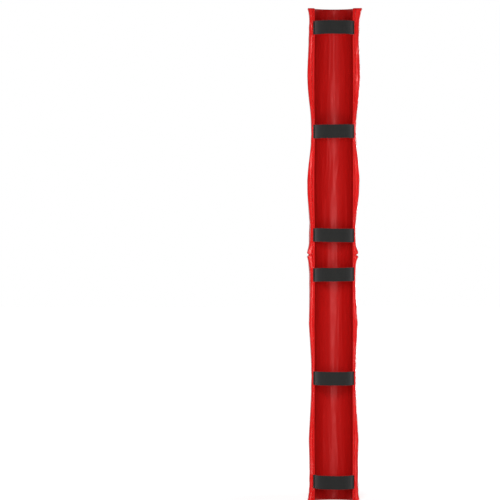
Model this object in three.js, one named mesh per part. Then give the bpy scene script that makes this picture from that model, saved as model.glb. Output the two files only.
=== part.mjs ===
// Pole pad for a round basketball post: two foam sections in one sewn vinyl cover, closed by six straps.
// Units are millimetres and +Z runs up the post. The padded front faces -Y and the open back faces +Y.
// The origin is on the post's axis, level with the pad's bottom end.

import * as THREE from "three";

// Post that the pad goes round
const POST_DIAMETER = 140;
const POST_CLEARANCE = 1;

// Pad body
const SECTION_LENGTH = 914.4;
const PAD_THICKNESS = 29;
const VINYL_THICKNESS = 0.9;
const LAYER_GAP = 0.3;
const REAR_CORNER_RADIUS = 7;
const PANEL_SEAM_SHARE = 1 / 3;
const PANEL_SEAM_DEPTH = 1.2;

// How far round the post the padding reaches from the front, in degrees
const WRAP_ANGLE_BETWEEN_STRAPS = 87;
const WRAP_ANGLE_AT_STRAPS = 99;

// How far each strap draws the sides in, from the bottom strap to the top one. The lower section is
// strapped more tightly, so that its straps' pull reaches further.
const STRAP_DRAW_INS = [10, 16, 14, 14, 15, 7];
const LOWER_DRAW_IN_REACH = 220;
const UPPER_DRAW_IN_REACH = 105;
const FIRM_FRONT_SHARE = 0.3;
const FULL_DRAW_IN_SHARE = 0.9;

// Flared corners at the pad's ends and at the fold seam, and the valley sewn along that seam
const END_FLARE = 9;
const END_FLARE_REACH = 30;
const SEAM_FLARE = 10;
const SEAM_FLARE_REACH = 18;
const SEAM_VALLEY_DEPTH = 8;
const SEAM_VALLEY_REACH = 9;
const FOLD_STRIP_THICKNESS = 1.2;

// Straps with their hook and loop patches
const STRAP_WIDTH = 50;
const STRAP_INSET = 73;
const STRAP_THICKNESS = 1.6;
const STRAP_POST_GAP = 0.5;
const STRAP_TURN_RADIUS = 3;
const STRAP_FLAP_REACH = 7;
const PATCH_THICKNESS = 1.2;
const PATCH_SIDE_MARGIN = 2;
const HOOK_PATCH_LENGTH = 50;

// Fineness of the curved faces
const ARC_STEPS = 6;
const STRAP_ARC_STEPS = 14;
const TURN_STEPS = 3;
const SMALLEST_STATION_STEP = 2;
const flareStationShares = [0.45, 1];
const bulgeStationShares = [0.14, 0.31, 0.5, 0.69, 0.86];
const seamStationShares = [3, 1.6, 1, 0.4];

// Sizes that follow from those above
const TOTAL_LENGTH = 2 * SECTION_LENGTH;
const INNER_RADIUS = POST_DIAMETER / 2 + POST_CLEARANCE;
const CORE_INSET = VINYL_THICKNESS + LAYER_GAP;
const FOLD_STRIP_CLEAR = FOLD_STRIP_THICKNESS / 2 + LAYER_GAP;
const FLAP_END_RADIUS = INNER_RADIUS + STRAP_FLAP_REACH;
const RIGHT = 1;
const LEFT = -1;

const RED_VINYL = { color: 0xc4141b, roughness: 0.32, metalness: 0 };
const RED_LINING = { color: 0xa81218, roughness: 0.55, metalness: 0 };
const FOAM = { color: 0xe9e4d4, roughness: 0.95, metalness: 0 };
const BLACK_WEBBING = { color: 0x2c2c2b, roughness: 0.85, metalness: 0 };
const BLACK_PATCH = { color: 0x1b1b1b, roughness: 0.95, metalness: 0 };

const radians = THREE.MathUtils.degToRad;

function namedMesh(name, geometry, finish) {
  const mesh = new THREE.Mesh(geometry, new THREE.MeshStandardMaterial(finish));
  mesh.name = name;
  return mesh;
}

// Heights of the three straps of one section, measured from its outer end towards the fold seam.
function strapOffsets() {
  return [STRAP_INSET, SECTION_LENGTH / 2, SECTION_LENGTH - STRAP_INSET];
}

// Heights of all six straps above the pad's bottom end, with how far each one draws the sides in.
function allStraps() {
  const lower = strapOffsets();
  const upper = lower.map((offset) => TOTAL_LENGTH - offset).reverse();
  return [...lower, ...upper].map((height, index) => ({
    height,
    drawIn: STRAP_DRAW_INS[index],
    reach: height < SECTION_LENGTH ? LOWER_DRAW_IN_REACH : UPPER_DRAW_IN_REACH,
  }));
}

const STRAPS = allStraps();

// Strength of one strap's pull at a height: full over the strap's width, then fading to both sides.
function strapPull(strap, z) {
  const beyondStrap = Math.max(Math.abs(z - strap.height) - STRAP_WIDTH / 2, 0);
  return Math.exp(-((beyondStrap / strap.reach) ** 2));
}

// Angle from the front, in radians, at which the outer face turns over the rear corner.
function wrapAngle(z) {
  const strongest = Math.max(...STRAPS.map((strap) => strapPull(strap, z)));
  const spread = WRAP_ANGLE_AT_STRAPS - WRAP_ANGLE_BETWEEN_STRAPS;
  return radians(WRAP_ANGLE_BETWEEN_STRAPS + spread * strongest);
}

// How much thinner the padding is at its rear edges than at the front. The flares make it thicker.
function edgeDrawIn(z) {
  const fromEnd = Math.min(z, TOTAL_LENGTH - z);
  const beyondValley = Math.max(Math.abs(z - SECTION_LENGTH) - SEAM_VALLEY_REACH, 0);
  const drawIn = Math.max(...STRAPS.map((strap) => strap.drawIn * strapPull(strap, z)));
  const flares =
    END_FLARE * Math.exp(-fromEnd / END_FLARE_REACH) +
    SEAM_FLARE * Math.exp(-beyondValley / SEAM_FLARE_REACH);
  return drawIn - flares;
}

// Depth of the valley that the fold seam sews into the outer face.
function seamValley(z) {
  const share = 1 - Math.abs(z - SECTION_LENGTH) / SEAM_VALLEY_REACH;
  return SEAM_VALLEY_DEPTH * Math.max(share, 0) ** 2;
}

// Thickness of the whole pad at a share of the way from the front centre to the rear corner.
function padThickness(share, z) {
  const span = FULL_DRAW_IN_SHARE - FIRM_FRONT_SHARE;
  const blend = THREE.MathUtils.smoothstep((share - FIRM_FRONT_SHARE) / span, 0, 1);
  return PAD_THICKNESS - edgeDrawIn(z) * blend - seamValley(z);
}

function onArc(radius, angle) {
  return new THREE.Vector2(radius * Math.sin(angle), -radius * Math.cos(angle));
}

// A point in the square frame of the rear corner: a distance out from the post's axis and one past the turn.
function atRearEdge(z, outward, past) {
  const angle = wrapAngle(z);
  return onArc(outward, angle).add(onArc(past, angle + Math.PI / 2));
}

function frontPoint(radius) {
  return new THREE.Vector2(LAYER_GAP / 2, -radius);
}

// Points of the outer face from the front centre to the rear corner, at a depth under the skin.
// Each point carries its lane, the count of steps from the front, so that nested faces are cut alike.
function outerRun(z, depth) {
  const points = [{ at: frontPoint(INNER_RADIUS + padThickness(0, z) - depth), lane: 0 }];
  for (let step = 1; step <= ARC_STEPS; step += 1) {
    const share = step / ARC_STEPS;
    const radius = INNER_RADIUS + padThickness(share, z) - depth;
    points.push({ at: onArc(radius, share * wrapAngle(z)), lane: step });
  }
  const cornerCentre = INNER_RADIUS + padThickness(1, z) - REAR_CORNER_RADIUS;
  const rounding = REAR_CORNER_RADIUS - depth;
  const half = rounding * Math.SQRT1_2;
  points.push({ at: atRearEdge(z, cornerCentre + half, half), lane: ARC_STEPS + 1 });
  points.push({ at: atRearEdge(z, cornerCentre, rounding), lane: ARC_STEPS + 2 });
  return points;
}

// Points of the inner face from the front centre to the rear edge, at a depth above the lining's face.
function innerRun(z, depth) {
  const radius = INNER_RADIUS + depth;
  const points = [{ at: frontPoint(radius), lane: 0 }];
  for (let step = 1; step <= ARC_STEPS; step += 1) {
    points.push({ at: onArc(radius, (step / ARC_STEPS) * wrapAngle(z)), lane: step });
  }
  points.push({ at: atRearEdge(z, radius, REAR_CORNER_RADIUS - depth), lane: ARC_STEPS + 1 });
  return points;
}

// A point in the crease where the front cover and the lining are sewn together along the rear edge,
// at a depth under the skin and a distance from the seam towards the post.
function panelSeam(z, depth, inside) {
  const outward = INNER_RADIUS + PANEL_SEAM_SHARE * padThickness(1, z) - inside;
  return atRearEdge(z, outward, REAR_CORNER_RADIUS - PANEL_SEAM_DEPTH - depth);
}

// The outer face with the stretch of the rear edge down to the panel seam, at a depth under the skin.
function coveredRun(z, depth) {
  return [...outerRun(z, depth), { at: panelSeam(z, depth, 0), lane: ARC_STEPS + 3 }];
}

function coreOutline(z) {
  return [...coveredRun(z, CORE_INSET), ...innerRun(z, CORE_INSET).reverse()];
}

function coverOutline(z) {
  return [...coveredRun(z, 0), ...coveredRun(z, VINYL_THICKNESS).reverse()];
}

function liningOutline(z) {
  const face = (depth) => [
    ...innerRun(z, depth),
    { at: panelSeam(z, depth, LAYER_GAP), lane: ARC_STEPS + 2 },
  ];
  return [...face(VINYL_THICKNESS), ...face(0).reverse()];
}

// The fold strip fills the seam plane. Its rim lies just under the skin of the covers that end beside it,
// and inside it clears the lining.
function foldStripOutline() {
  const z = SECTION_LENGTH - FOLD_STRIP_CLEAR;
  const step = panelSeam(z, CORE_INSET, 0);
  const rim = [...coveredRun(z, LAYER_GAP), { at: step, lane: ARC_STEPS + 4 }];
  return [...rim, ...innerRun(z, CORE_INSET).reverse()];
}

// A closed solid through outlines stacked in rising height, with all quads cut along the same lanes.
function loftSolid(levels, side) {
  const rings = levels.map(({ outline }) => (side === LEFT ? [...outline].reverse() : outline));
  const size = rings[0].length;
  const positions = [];
  rings.forEach((ring, level) => {
    ring.forEach(({ at }) => positions.push(side * at.x, at.y, levels[level].z));
  });
  const faces = [];
  for (let level = 0; level + 1 < rings.length; level += 1) {
    for (let point = 0; point < size; point += 1) {
      const next = (point + 1) % size;
      const low = level * size;
      const high = low + size;
      const forward = rings[0][next].lane >= rings[0][point].lane;
      if (forward) {
        faces.push(low + point, low + next, high + next, low + point, high + next, high + point);
      } else {
        faces.push(low + point, low + next, high + point, low + next, high + next, high + point);
      }
    }
  }
  addCap(faces, rings[0], side, 0, false);
  addCap(faces, rings.at(-1), side, (rings.length - 1) * size, true);
  const geometry = new THREE.BufferGeometry();
  geometry.setAttribute("position", new THREE.Float32BufferAttribute(positions, 3));
  geometry.setIndex(faces);
  geometry.computeVertexNormals();
  return geometry;
}

// Closes one end of a loft with a flat cap that faces up or down.
function addCap(faces, ring, side, first, facesUp) {
  const contour = ring.map(({ at }) => new THREE.Vector2(side * at.x, at.y));
  for (const face of THREE.ShapeUtils.triangulateShape(contour, [])) {
    const area = THREE.ShapeUtils.area(face.map((index) => contour[index]));
    const corners = area > 0 === facesUp ? face : [...face].reverse();
    faces.push(...corners.map((index) => first + index));
  }
}

// Heights at which one section is shaped, measured from its outer end, between two end heights.
function sectionStations(start, end) {
  const [endStrap, middleStrap, seamStrap] = strapOffsets();
  const half = STRAP_WIDTH / 2;
  const stations = flareStationShares.map((share) => share * END_FLARE_REACH);
  for (const strap of strapOffsets()) {
    stations.push(strap - half, strap + half);
  }
  for (const [from, to] of [
    [endStrap + half, middleStrap - half],
    [middleStrap + half, seamStrap - half],
  ]) {
    stations.push(...bulgeStationShares.map((share) => from + share * (to - from)));
  }
  stations.push(...seamStationShares.map((share) => SECTION_LENGTH - share * SEAM_VALLEY_REACH));
  stations.sort((a, b) => a - b);
  const kept = [start];
  for (const station of stations) {
    const clearBelow = station - kept.at(-1) > SMALLEST_STATION_STEP;
    const clearAbove = end - station > SMALLEST_STATION_STEP;
    if (clearBelow && clearAbove) {
      kept.push(station);
    }
  }
  return [...kept, end];
}

// The same stations as heights above the pad's bottom end, rising, for the lower or the upper section.
function stationHeights(isUpper, start) {
  const stations = sectionStations(start, SECTION_LENGTH - FOLD_STRIP_CLEAR);
  return isUpper ? stations.map((station) => TOTAL_LENGTH - station).reverse() : stations;
}

function levelsOf(outlineAt, heights) {
  return heights.map((z) => ({ z, outline: outlineAt(z) }));
}

function foamCore(isUpper, side) {
  return loftSolid(levelsOf(coreOutline, stationHeights(isUpper, CORE_INSET)), side);
}

function frontCover(isUpper, side) {
  return loftSolid(levelsOf(coverOutline, stationHeights(isUpper, 0)), side);
}

function backLining(side) {
  const heights = [...stationHeights(false, 0), ...stationHeights(true, 0)];
  return loftSolid(levelsOf(liningOutline, heights), side);
}

function endPanel(isUpper, side) {
  const heights = isUpper ? [TOTAL_LENGTH - VINYL_THICKNESS, TOTAL_LENGTH] : [0, VINYL_THICKNESS];
  return loftSolid(levelsOf(coreOutline, heights), side);
}

function foldStrip(side) {
  const outline = foldStripOutline();
  const half = FOLD_STRIP_THICKNESS / 2;
  return loftSolid([SECTION_LENGTH - half, SECTION_LENGTH + half].map((z) => ({ z, outline })), side);
}

// Path of one end of a strap, from its tip on the pad's rear edge round a small turn onto the post.
// The stand-off is the height of the strap's middle over the rear edge.
function strapEndPath(standOff, wrapRadius) {
  const z = STRAPS[0].height;
  const past = REAR_CORNER_RADIUS + standOff;
  const turnPast = past + STRAP_TURN_RADIUS;
  const turnOut = Math.sqrt((wrapRadius + STRAP_TURN_RADIUS) ** 2 - turnPast ** 2);
  const centre = atRearEdge(z, turnOut, turnPast);
  const spoke = atRearEdge(z, turnOut, past).sub(centre);
  const landing = centre.clone().setLength(wrapRadius).sub(centre);
  const turn = landing.angle() - spoke.angle();
  const path = [atRearEdge(z, FLAP_END_RADIUS, past)];
  for (let step = 0; step <= TURN_STEPS; step += 1) {
    const rotation = (step / TURN_STEPS) * turn;
    path.push(spoke.clone().rotateAround(new THREE.Vector2(), rotation).add(centre));
  }
  return path;
}

// Middle line of a strap: root on the right edge, round the back of the post, free end on the left edge.
function strapPath() {
  const rootWrap = INNER_RADIUS + STRAP_POST_GAP + STRAP_THICKNESS / 2;
  const freeWrap = rootWrap + PATCH_THICKNESS + LAYER_GAP;
  const rootEnd = strapEndPath(LAYER_GAP + STRAP_THICKNESS / 2, rootWrap);
  const freeStandOff = 3 * LAYER_GAP + 2 * PATCH_THICKNESS + STRAP_THICKNESS / 2;
  const freeEnd = strapEndPath(freeStandOff, freeWrap).map(({ x, y }) => new THREE.Vector2(-x, y));
  const angleOf = ({ x, y }) => THREE.MathUtils.euclideanModulo(Math.atan2(x, -y), 2 * Math.PI);
  const from = angleOf(rootEnd.at(-1));
  const to = angleOf(freeEnd.at(-1));
  const path = [...rootEnd];
  for (let step = 1; step < STRAP_ARC_STEPS; step += 1) {
    const share = step / STRAP_ARC_STEPS;
    const rise = THREE.MathUtils.smoothstep(share, 0, freeRiseShare(to - from, freeWrap));
    const radius = THREE.MathUtils.lerp(rootWrap, freeWrap, rise);
    path.push(onArc(radius, from + share * (to - from)));
  }
  return [...path, ...freeEnd.reverse()];
}

// Share of the strap's arc at which it has risen clear over the hook patch.
function freeRiseShare(arcAngle, radius) {
  return 1 - Math.min(HOOK_PATCH_LENGTH / (arcAngle * radius) + 1 / STRAP_ARC_STEPS, 1 / 2);
}

// Points at one distance to the right of a path, square to it at each point.
function besidePath(path, distance) {
  return path.map((point, index) => {
    const before = path[Math.max(index - 1, 0)];
    const after = path[Math.min(index + 1, path.length - 1)];
    const incoming = point.clone().sub(before).normalize();
    const outgoing = after.clone().sub(point).normalize();
    const along = incoming.clone().add(outgoing).normalize();
    const reference = incoming.lengthSq() > 0 ? incoming : outgoing;
    const lengthening = 1 / along.dot(reference);
    return new THREE.Vector2(along.y, -along.x).multiplyScalar(distance * lengthening).add(point);
  });
}

// A flat band that follows a path, given by the distances of its two faces from the path.
function band(path, nearFace, farFace, width) {
  const outline = [...besidePath(path, nearFace), ...besidePath(path, farFace).reverse()];
  const shape = new THREE.Shape(outline);
  return new THREE.ExtrudeGeometry(shape, { depth: width, bevelEnabled: false });
}

function strapWebbing() {
  return band(strapPath(), -STRAP_THICKNESS / 2, STRAP_THICKNESS / 2, STRAP_WIDTH);
}

// The part of a path within a length of its last point.
function pathTail(path, length) {
  const tail = [path.at(-1)];
  let left = length;
  for (let index = path.length - 2; index >= 0 && left > 0; index -= 1) {
    const last = tail.at(-1);
    const step = last.distanceTo(path[index]);
    tail.push(last.clone().lerp(path[index], Math.min(left / step, 1)));
    left -= step;
  }
  return tail.reverse();
}

// The hook patch lines the inner side of the strap's free end.
function hookPatch() {
  const near = -STRAP_THICKNESS / 2 - LAYER_GAP;
  const tail = pathTail(strapPath(), HOOK_PATCH_LENGTH);
  return band(tail, near - PATCH_THICKNESS, near, STRAP_WIDTH - 2 * PATCH_SIDE_MARGIN);
}

// The loop patch is sewn to the inner part of the left rear edge, under the strap's tip.
function loopPatch() {
  const z = STRAPS[0].height;
  const low = REAR_CORNER_RADIUS + LAYER_GAP;
  const inside = INNER_RADIUS + STRAP_TURN_RADIUS;
  const path = [atRearEdge(z, inside, low), atRearEdge(z, FLAP_END_RADIUS, low)];
  const mirrored = path.map(({ x, y }) => new THREE.Vector2(-x, y));
  return band(mirrored, 0, PATCH_THICKNESS, STRAP_WIDTH - 2 * PATCH_SIDE_MARGIN);
}

// One half of the padding, on the right or on the left of the front centre line.
function padHalf(side) {
  const half = new THREE.Group();
  const sideName = side === RIGHT ? "right" : "left";
  for (const isUpper of [false, true]) {
    const level = isUpper ? "upper" : "lower";
    const end = isUpper ? "top" : "bottom";
    half.add(namedMesh(`foam_core_${level}_${sideName}`, foamCore(isUpper, side), FOAM));
    half.add(namedMesh(`front_cover_${level}_${sideName}`, frontCover(isUpper, side), RED_VINYL));
    half.add(namedMesh(`end_panel_${end}_${sideName}`, endPanel(isUpper, side), RED_VINYL));
  }
  half.add(namedMesh(`back_lining_${sideName}`, backLining(side), RED_LINING));
  half.add(namedMesh(`fold_strip_${sideName}`, foldStrip(side), RED_VINYL));
  return half;
}

function strapSet(strap, number) {
  const set = new THREE.Group();
  const patchLift = PATCH_SIDE_MARGIN;
  const hook = namedMesh(`hook_patch_${number}`, hookPatch(), BLACK_PATCH);
  const loop = namedMesh(`loop_patch_${number}`, loopPatch(), BLACK_PATCH);
  hook.position.z = patchLift;
  loop.position.z = patchLift;
  set.add(namedMesh(`strap_${number}`, strapWebbing(), BLACK_WEBBING), hook, loop);
  set.position.z = strap.height - STRAP_WIDTH / 2;
  return set;
}

const polePad = new THREE.Group();
polePad.add(padHalf(RIGHT), padHalf(LEFT));
STRAPS.forEach((strap, index) => polePad.add(strapSet(strap, index + 1)));

export default polePad;
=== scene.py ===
"""Looks of a strapped pole pad: glossy red vinyl over two lengths of foam, closed by six webbing straps.

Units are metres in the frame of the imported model. +Z runs up the pad, the padded front faces -Y, the open
back faces +Y, and the origin is on the axis of the pad's round channel, level with its bottom end.
"""

import logging
import math
from collections.abc import Callable
from dataclasses import dataclass, replace
from enum import Enum

import bpy
import numpy as np
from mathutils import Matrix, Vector


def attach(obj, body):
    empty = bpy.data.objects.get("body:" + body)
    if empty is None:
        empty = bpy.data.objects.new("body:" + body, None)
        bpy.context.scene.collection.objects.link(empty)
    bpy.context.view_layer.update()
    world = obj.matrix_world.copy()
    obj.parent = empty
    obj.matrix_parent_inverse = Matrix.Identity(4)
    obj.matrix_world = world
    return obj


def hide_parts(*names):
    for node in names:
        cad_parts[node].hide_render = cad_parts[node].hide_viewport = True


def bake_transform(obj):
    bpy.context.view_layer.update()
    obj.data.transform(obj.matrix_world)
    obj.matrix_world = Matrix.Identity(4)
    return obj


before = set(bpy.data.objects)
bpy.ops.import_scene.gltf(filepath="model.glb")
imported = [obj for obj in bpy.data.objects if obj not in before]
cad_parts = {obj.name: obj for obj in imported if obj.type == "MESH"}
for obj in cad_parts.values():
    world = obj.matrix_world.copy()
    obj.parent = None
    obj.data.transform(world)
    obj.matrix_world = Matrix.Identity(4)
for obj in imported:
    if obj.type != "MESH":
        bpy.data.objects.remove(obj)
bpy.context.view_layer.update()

Array = np.ndarray
StitchRow = tuple[Array, Array]
log = logging.getLogger("pole_pad")

RIGHT_BODY = "right_half"
LEFT_BODY = "left_half"
PANEL_MAP = "Panel"
SHORTEST = 1e-12


class Side(Enum):
    """The two halves of the pad, on either side of the front centre line."""

    RIGHT = 1
    LEFT = -1


class Section(Enum):
    """The two padded lengths on either side of the fold seam."""

    LOWER = "lower"
    UPPER = "upper"


class Slot(Enum):
    """The record's material slots."""

    RED_VINYL = "red_vinyl"
    RED_LINING = "red_lining"
    FOAM = "foam"
    BLACK_WEBBING = "black_webbing"
    BLACK_PATCH = "black_hook_and_loop"


class Socket(Enum):
    """Kinds of value that a shared effect takes in or puts out."""

    NUMBER = "NodeSocketFloat"
    VECTOR = "NodeSocketVector"
    COLOUR = "NodeSocketColor"


def smoothstep(low: float, high: float, value: Array) -> Array:
    """Rises smoothly from 0 at low to 1 at high."""
    share = np.clip((value - low) / (high - low), 0, 1)
    return share * share * (3 - 2 * share)


def bell(distance: Array, reach: float) -> Array:
    """Falls smoothly from 1 at no distance towards 0 beyond the reach."""
    return np.exp(-((distance / reach) ** 2))


def unit(vectors: Array) -> Array:
    """The same directions with a length of 1."""
    return vectors / np.maximum(np.linalg.norm(vectors, axis=-1, keepdims=True), SHORTEST)


def on_arc(radius: Array, angle: Array) -> Array:
    """Points (x, y) at a radius round the channel's axis and at an angle from the front."""
    return np.stack([radius * np.sin(angle), -radius * np.cos(angle)], axis=-1)


def distances(line: Array) -> Array:
    """Distance of each point of a line from its first point, measured along the line."""
    return np.concatenate([[0], np.cumsum(np.linalg.norm(np.diff(line, axis=0), axis=1))])


def read_at(values: Array, steps: Array, at: Array) -> Array:
    """Rows of values that are known at some steps, read at others."""
    return np.stack([np.interp(at, steps, column) for column in values.T], axis=-1)


def path_normals(line: Array) -> Array:
    """Unit vectors square to a flat path, on its left."""
    along = np.gradient(line, axis=0)
    return unit(np.stack([-along[:, 1], along[:, 0]], axis=-1))


@dataclass(frozen=True)
class Ripple:
    """Repeatable smooth noise from -1 to 1, with one random value at each corner of its cells."""

    seed: int
    width: float
    length: float = 1.0
    shift: float = 0
    size: int = 256

    def values(self) -> Array:
        """The random values."""
        return np.random.default_rng(self.seed).uniform(-1, 1, (self.size, self.size))

    def at(self, across: Array, along: Array, shift: float | Array = 0) -> Array:
        """Noise at places on the cloth.

        Args:
            across: Distance across the cells.
            along: Distance along the cells.
            shift: Number of cells to move on by, across.

        Returns:
            The values there.
        """
        values = self.values()
        across, along = across / self.width + self.shift + shift, along / self.length
        column, row = np.floor(across).astype(int), np.floor(along).astype(int)
        right, up = smoothstep(0, 1, across - column), smoothstep(0, 1, along - row)

        def corner(over: int, above: int) -> Array:
            """The random value at one corner of each place's cell."""
            return values[(column + over) % self.size, (row + above) % self.size]

        low = corner(0, 0) * (1 - right) + corner(1, 0) * right
        high = corner(0, 1) * (1 - right) + corner(1, 1) * right
        return low * (1 - up) + high * up


@dataclass(frozen=True)
class StrapPlace:
    """Where one strap closes the pad and how it pulls the sides in."""

    number: int
    height: float
    draw_in: float
    reach: float


@dataclass(frozen=True)
class RowSpacing:
    """How closely the rows of a sheet follow each other up the pad."""

    coarse: float
    fine: float
    fold_reach: float = 0.012
    end_reach: float = 0.03
    end_ease: float = 2.5
    strap_reach: float = 0.02
    strap_share: float = 0.6
    samples: int = 4000


@dataclass(frozen=True)
class PadShape:
    """Sizes of the padding and the curves that follow from them."""

    inner_radius: float = 0.071
    thickness: float = 0.029
    section_length: float = 0.9144
    vinyl: float = 0.0009
    layer_gap: float = 0.0003
    corner_radius: float = 0.007
    inner_corner_radius: float = 0.0032
    seam_share: float = 1 / 3
    crease_depth: float = 0.0024
    crease_lip: float = 0.0022
    crease_reach: float = 0.0036
    thin_edge: float = 0.012
    full_edge: float = 0.022
    edge_crown: float = 0.0013
    cover_crown_share: float = 0.08
    lining_crown_share: float = 0.1
    wrap_between_straps: float = 87
    wrap_at_straps: float = 99
    firm_front_share: float = 0.3
    full_draw_in_share: float = 0.9
    end_flare: float = 0.009
    end_flare_reach: float = 0.030
    seam_flare: float = 0.010
    seam_flare_reach: float = 0.018
    valley_depth: float = 0.008
    valley_reach: float = 0.009
    seam_half_gap: float = 0.0009
    strap_width: float = 0.050
    strap_inset: float = 0.073
    strap_draw_ins: tuple[float, ...] = (0.010, 0.016, 0.014, 0.014, 0.015, 0.007)
    lower_reach: float = 0.220
    upper_reach: float = 0.105
    lean: float = 0.004
    lean_reach: float = 0.24
    top_lean: float = 0.004
    top_lean_reach: float = 0.07
    arc_lanes: int = 46
    lane_crowding: float = 1.3
    corner_lanes: int = 6
    edge_lanes: int = 9
    cover_edge_crowding: float = 1.6
    lining_edge_crowding: float = 0.7

    @property
    def total_length(self) -> float:
        """Length of the whole pad."""
        return 2 * self.section_length

    def straps(self) -> list[StrapPlace]:
        """The straps' places.

        Returns:
            The six straps, from the bottom one up.
        """
        lower = [self.strap_inset, self.section_length / 2, self.section_length - self.strap_inset]
        heights = lower + [self.total_length - height for height in reversed(lower)]
        reaches = [self.lower_reach] * len(lower) + [self.upper_reach] * len(lower)
        rows = zip(heights, self.strap_draw_ins, reaches)
        return [StrapPlace(number, *row) for number, row in enumerate(rows, 1)]

    def from_end(self, z: Array) -> Array:
        """Distance of each height from the nearer end of the pad."""
        return np.minimum(z, self.total_length - z)

    def from_strap(self, z: Array) -> Array:
        """Distance of each height from the middle of the nearest strap."""
        return np.min([np.abs(z - strap.height) for strap in self.straps()], axis=0)

    def beyond_strap(self, strap: StrapPlace, z: Array) -> Array:
        """Distance of each height from one strap's nearer edge, and 0 under the strap."""
        return np.maximum(np.abs(z - strap.height) - self.strap_width / 2, 0)

    def strap_pull(self, strap: StrapPlace, z: Array) -> Array:
        """Strength of one strap's pull, which is full over its width and fades to both sides."""
        return bell(self.beyond_strap(strap, z), strap.reach)

    def arc_shares(self) -> Array:
        """Places of the lanes from the front centre, 0, to the rear corner, 1, closer at the rear."""
        return 1 - np.linspace(1, 0, self.arc_lanes) ** self.lane_crowding

    def wrap_angle(self, z: Array) -> Array:
        """How far round the channel the pad reaches.

        Args:
            z: Height.

        Returns:
            Angle from the front at which the outer face turns over the rear corner, in radians.
        """
        strongest = np.max([self.strap_pull(strap, z) for strap in self.straps()], axis=0)
        spread = self.wrap_at_straps - self.wrap_between_straps
        return np.radians(self.wrap_between_straps + spread * strongest)

    def edge_draw_in(self, z: Array, side: Side) -> Array:
        """How much thinner the padding is at a rear edge than at the front.

        Args:
            z: Height.
            side: The half of the pad.

        Returns:
            The difference, below 0 where the edge flares.
        """
        beyond_valley = np.maximum(np.abs(z - self.section_length) - self.valley_reach, 0)
        draw_in = np.max([strap.draw_in * self.strap_pull(strap, z) for strap in self.straps()], axis=0)
        flares = self.end_flare * np.exp(-self.from_end(z) / self.end_flare_reach)
        flares = flares + self.seam_flare * np.exp(-beyond_valley / self.seam_flare_reach)
        lean = self.lean * bell(z - self.section_length, self.lean_reach)
        lean = lean - self.top_lean * bell(z - self.total_length, self.top_lean_reach)
        return draw_in - flares - side.value * lean

    def seam_valley(self, z: Array) -> Array:
        """Depth of the valley that the fold seam sews into the outer face."""
        share = 1 - np.abs(z - self.section_length) / self.valley_reach
        return self.valley_depth * np.maximum(share, 0) ** 2

    def pad_thickness(self, share: Array, z: Array, side: Side) -> Array:
        """Thickness of the pad at a share of the way from the front centre to the rear corner."""
        blend = smoothstep(self.firm_front_share, self.full_draw_in_share, share)
        return self.thickness - self.edge_draw_in(z, side) * blend - self.seam_valley(z)

    def at_rear_edge(self, z: Array, outward: Array, past: Array) -> Array:
        """A point of the rear corner's square frame: a distance out from the axis and one past the turn."""
        angle = self.wrap_angle(z)
        return on_arc(outward, angle) + on_arc(past, angle + math.pi / 2)

    def edge_radii(self, z: Array, side: Side) -> tuple[Array, Array]:
        """Distances from the channel's axis to the outer face and to the rear seam, at a rear edge."""
        edge = self.pad_thickness(1.0, z, side)
        return self.inner_radius + edge, self.inner_radius + self.seam_share * edge

    def crease(self, from_seam: Array, edge: Array, depth: Array) -> Array:
        """How deep the skin dips towards the rear seam.

        Args:
            from_seam: Distance from the seam.
            edge: Thickness of the pad at its rear edge, which leaves no room for a crease where it is thin.
            depth: Depth under the skin, over which the crease fades.

        Returns:
            The depth of the dip.
        """
        under = np.clip(1 - depth / self.crease_reach, 0, 1)
        room = smoothstep(self.thin_edge, self.full_edge, edge) * under
        return self.crease_depth * room * bell(from_seam, self.crease_lip)

    def cover_half(self, z: Array, depth: Array, side: Side) -> Array:
        """Points of the front cover from the front centre to the rear seam.

        Args:
            z: Height of each row.
            depth: How far each row lies under the skin.
            side: The half of the pad.

        Returns:
            Rows by lanes by (x, y).
        """
        z, depth = z[:, None], depth[:, None]
        share = self.arc_shares()[None, :]
        radius = self.inner_radius + self.pad_thickness(share, z, side) - depth
        arc = on_arc(radius, share * self.wrap_angle(z))
        outer, seam = self.edge_radii(z, side)
        centre, rounding = outer - self.corner_radius, self.corner_radius - depth
        turn = np.linspace(0, math.pi / 2, self.corner_lanes + 1)[None, 1:]
        corner = self.at_rear_edge(z, centre + rounding * np.cos(turn), rounding * np.sin(turn))
        run = 1 - (1 - np.linspace(0, 1, self.edge_lanes + 1)[None, 1:]) ** self.cover_edge_crowding
        width = centre - seam
        crown = np.minimum(self.edge_crown, self.cover_crown_share * width) * 4 * run * (1 - run)
        past = rounding + crown - self.crease((1 - run) * width, outer - self.inner_radius, depth)
        edge = self.at_rear_edge(z, centre - width * run, past)
        return self.mirrored(np.concatenate([arc, corner, edge], axis=1), side)

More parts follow.
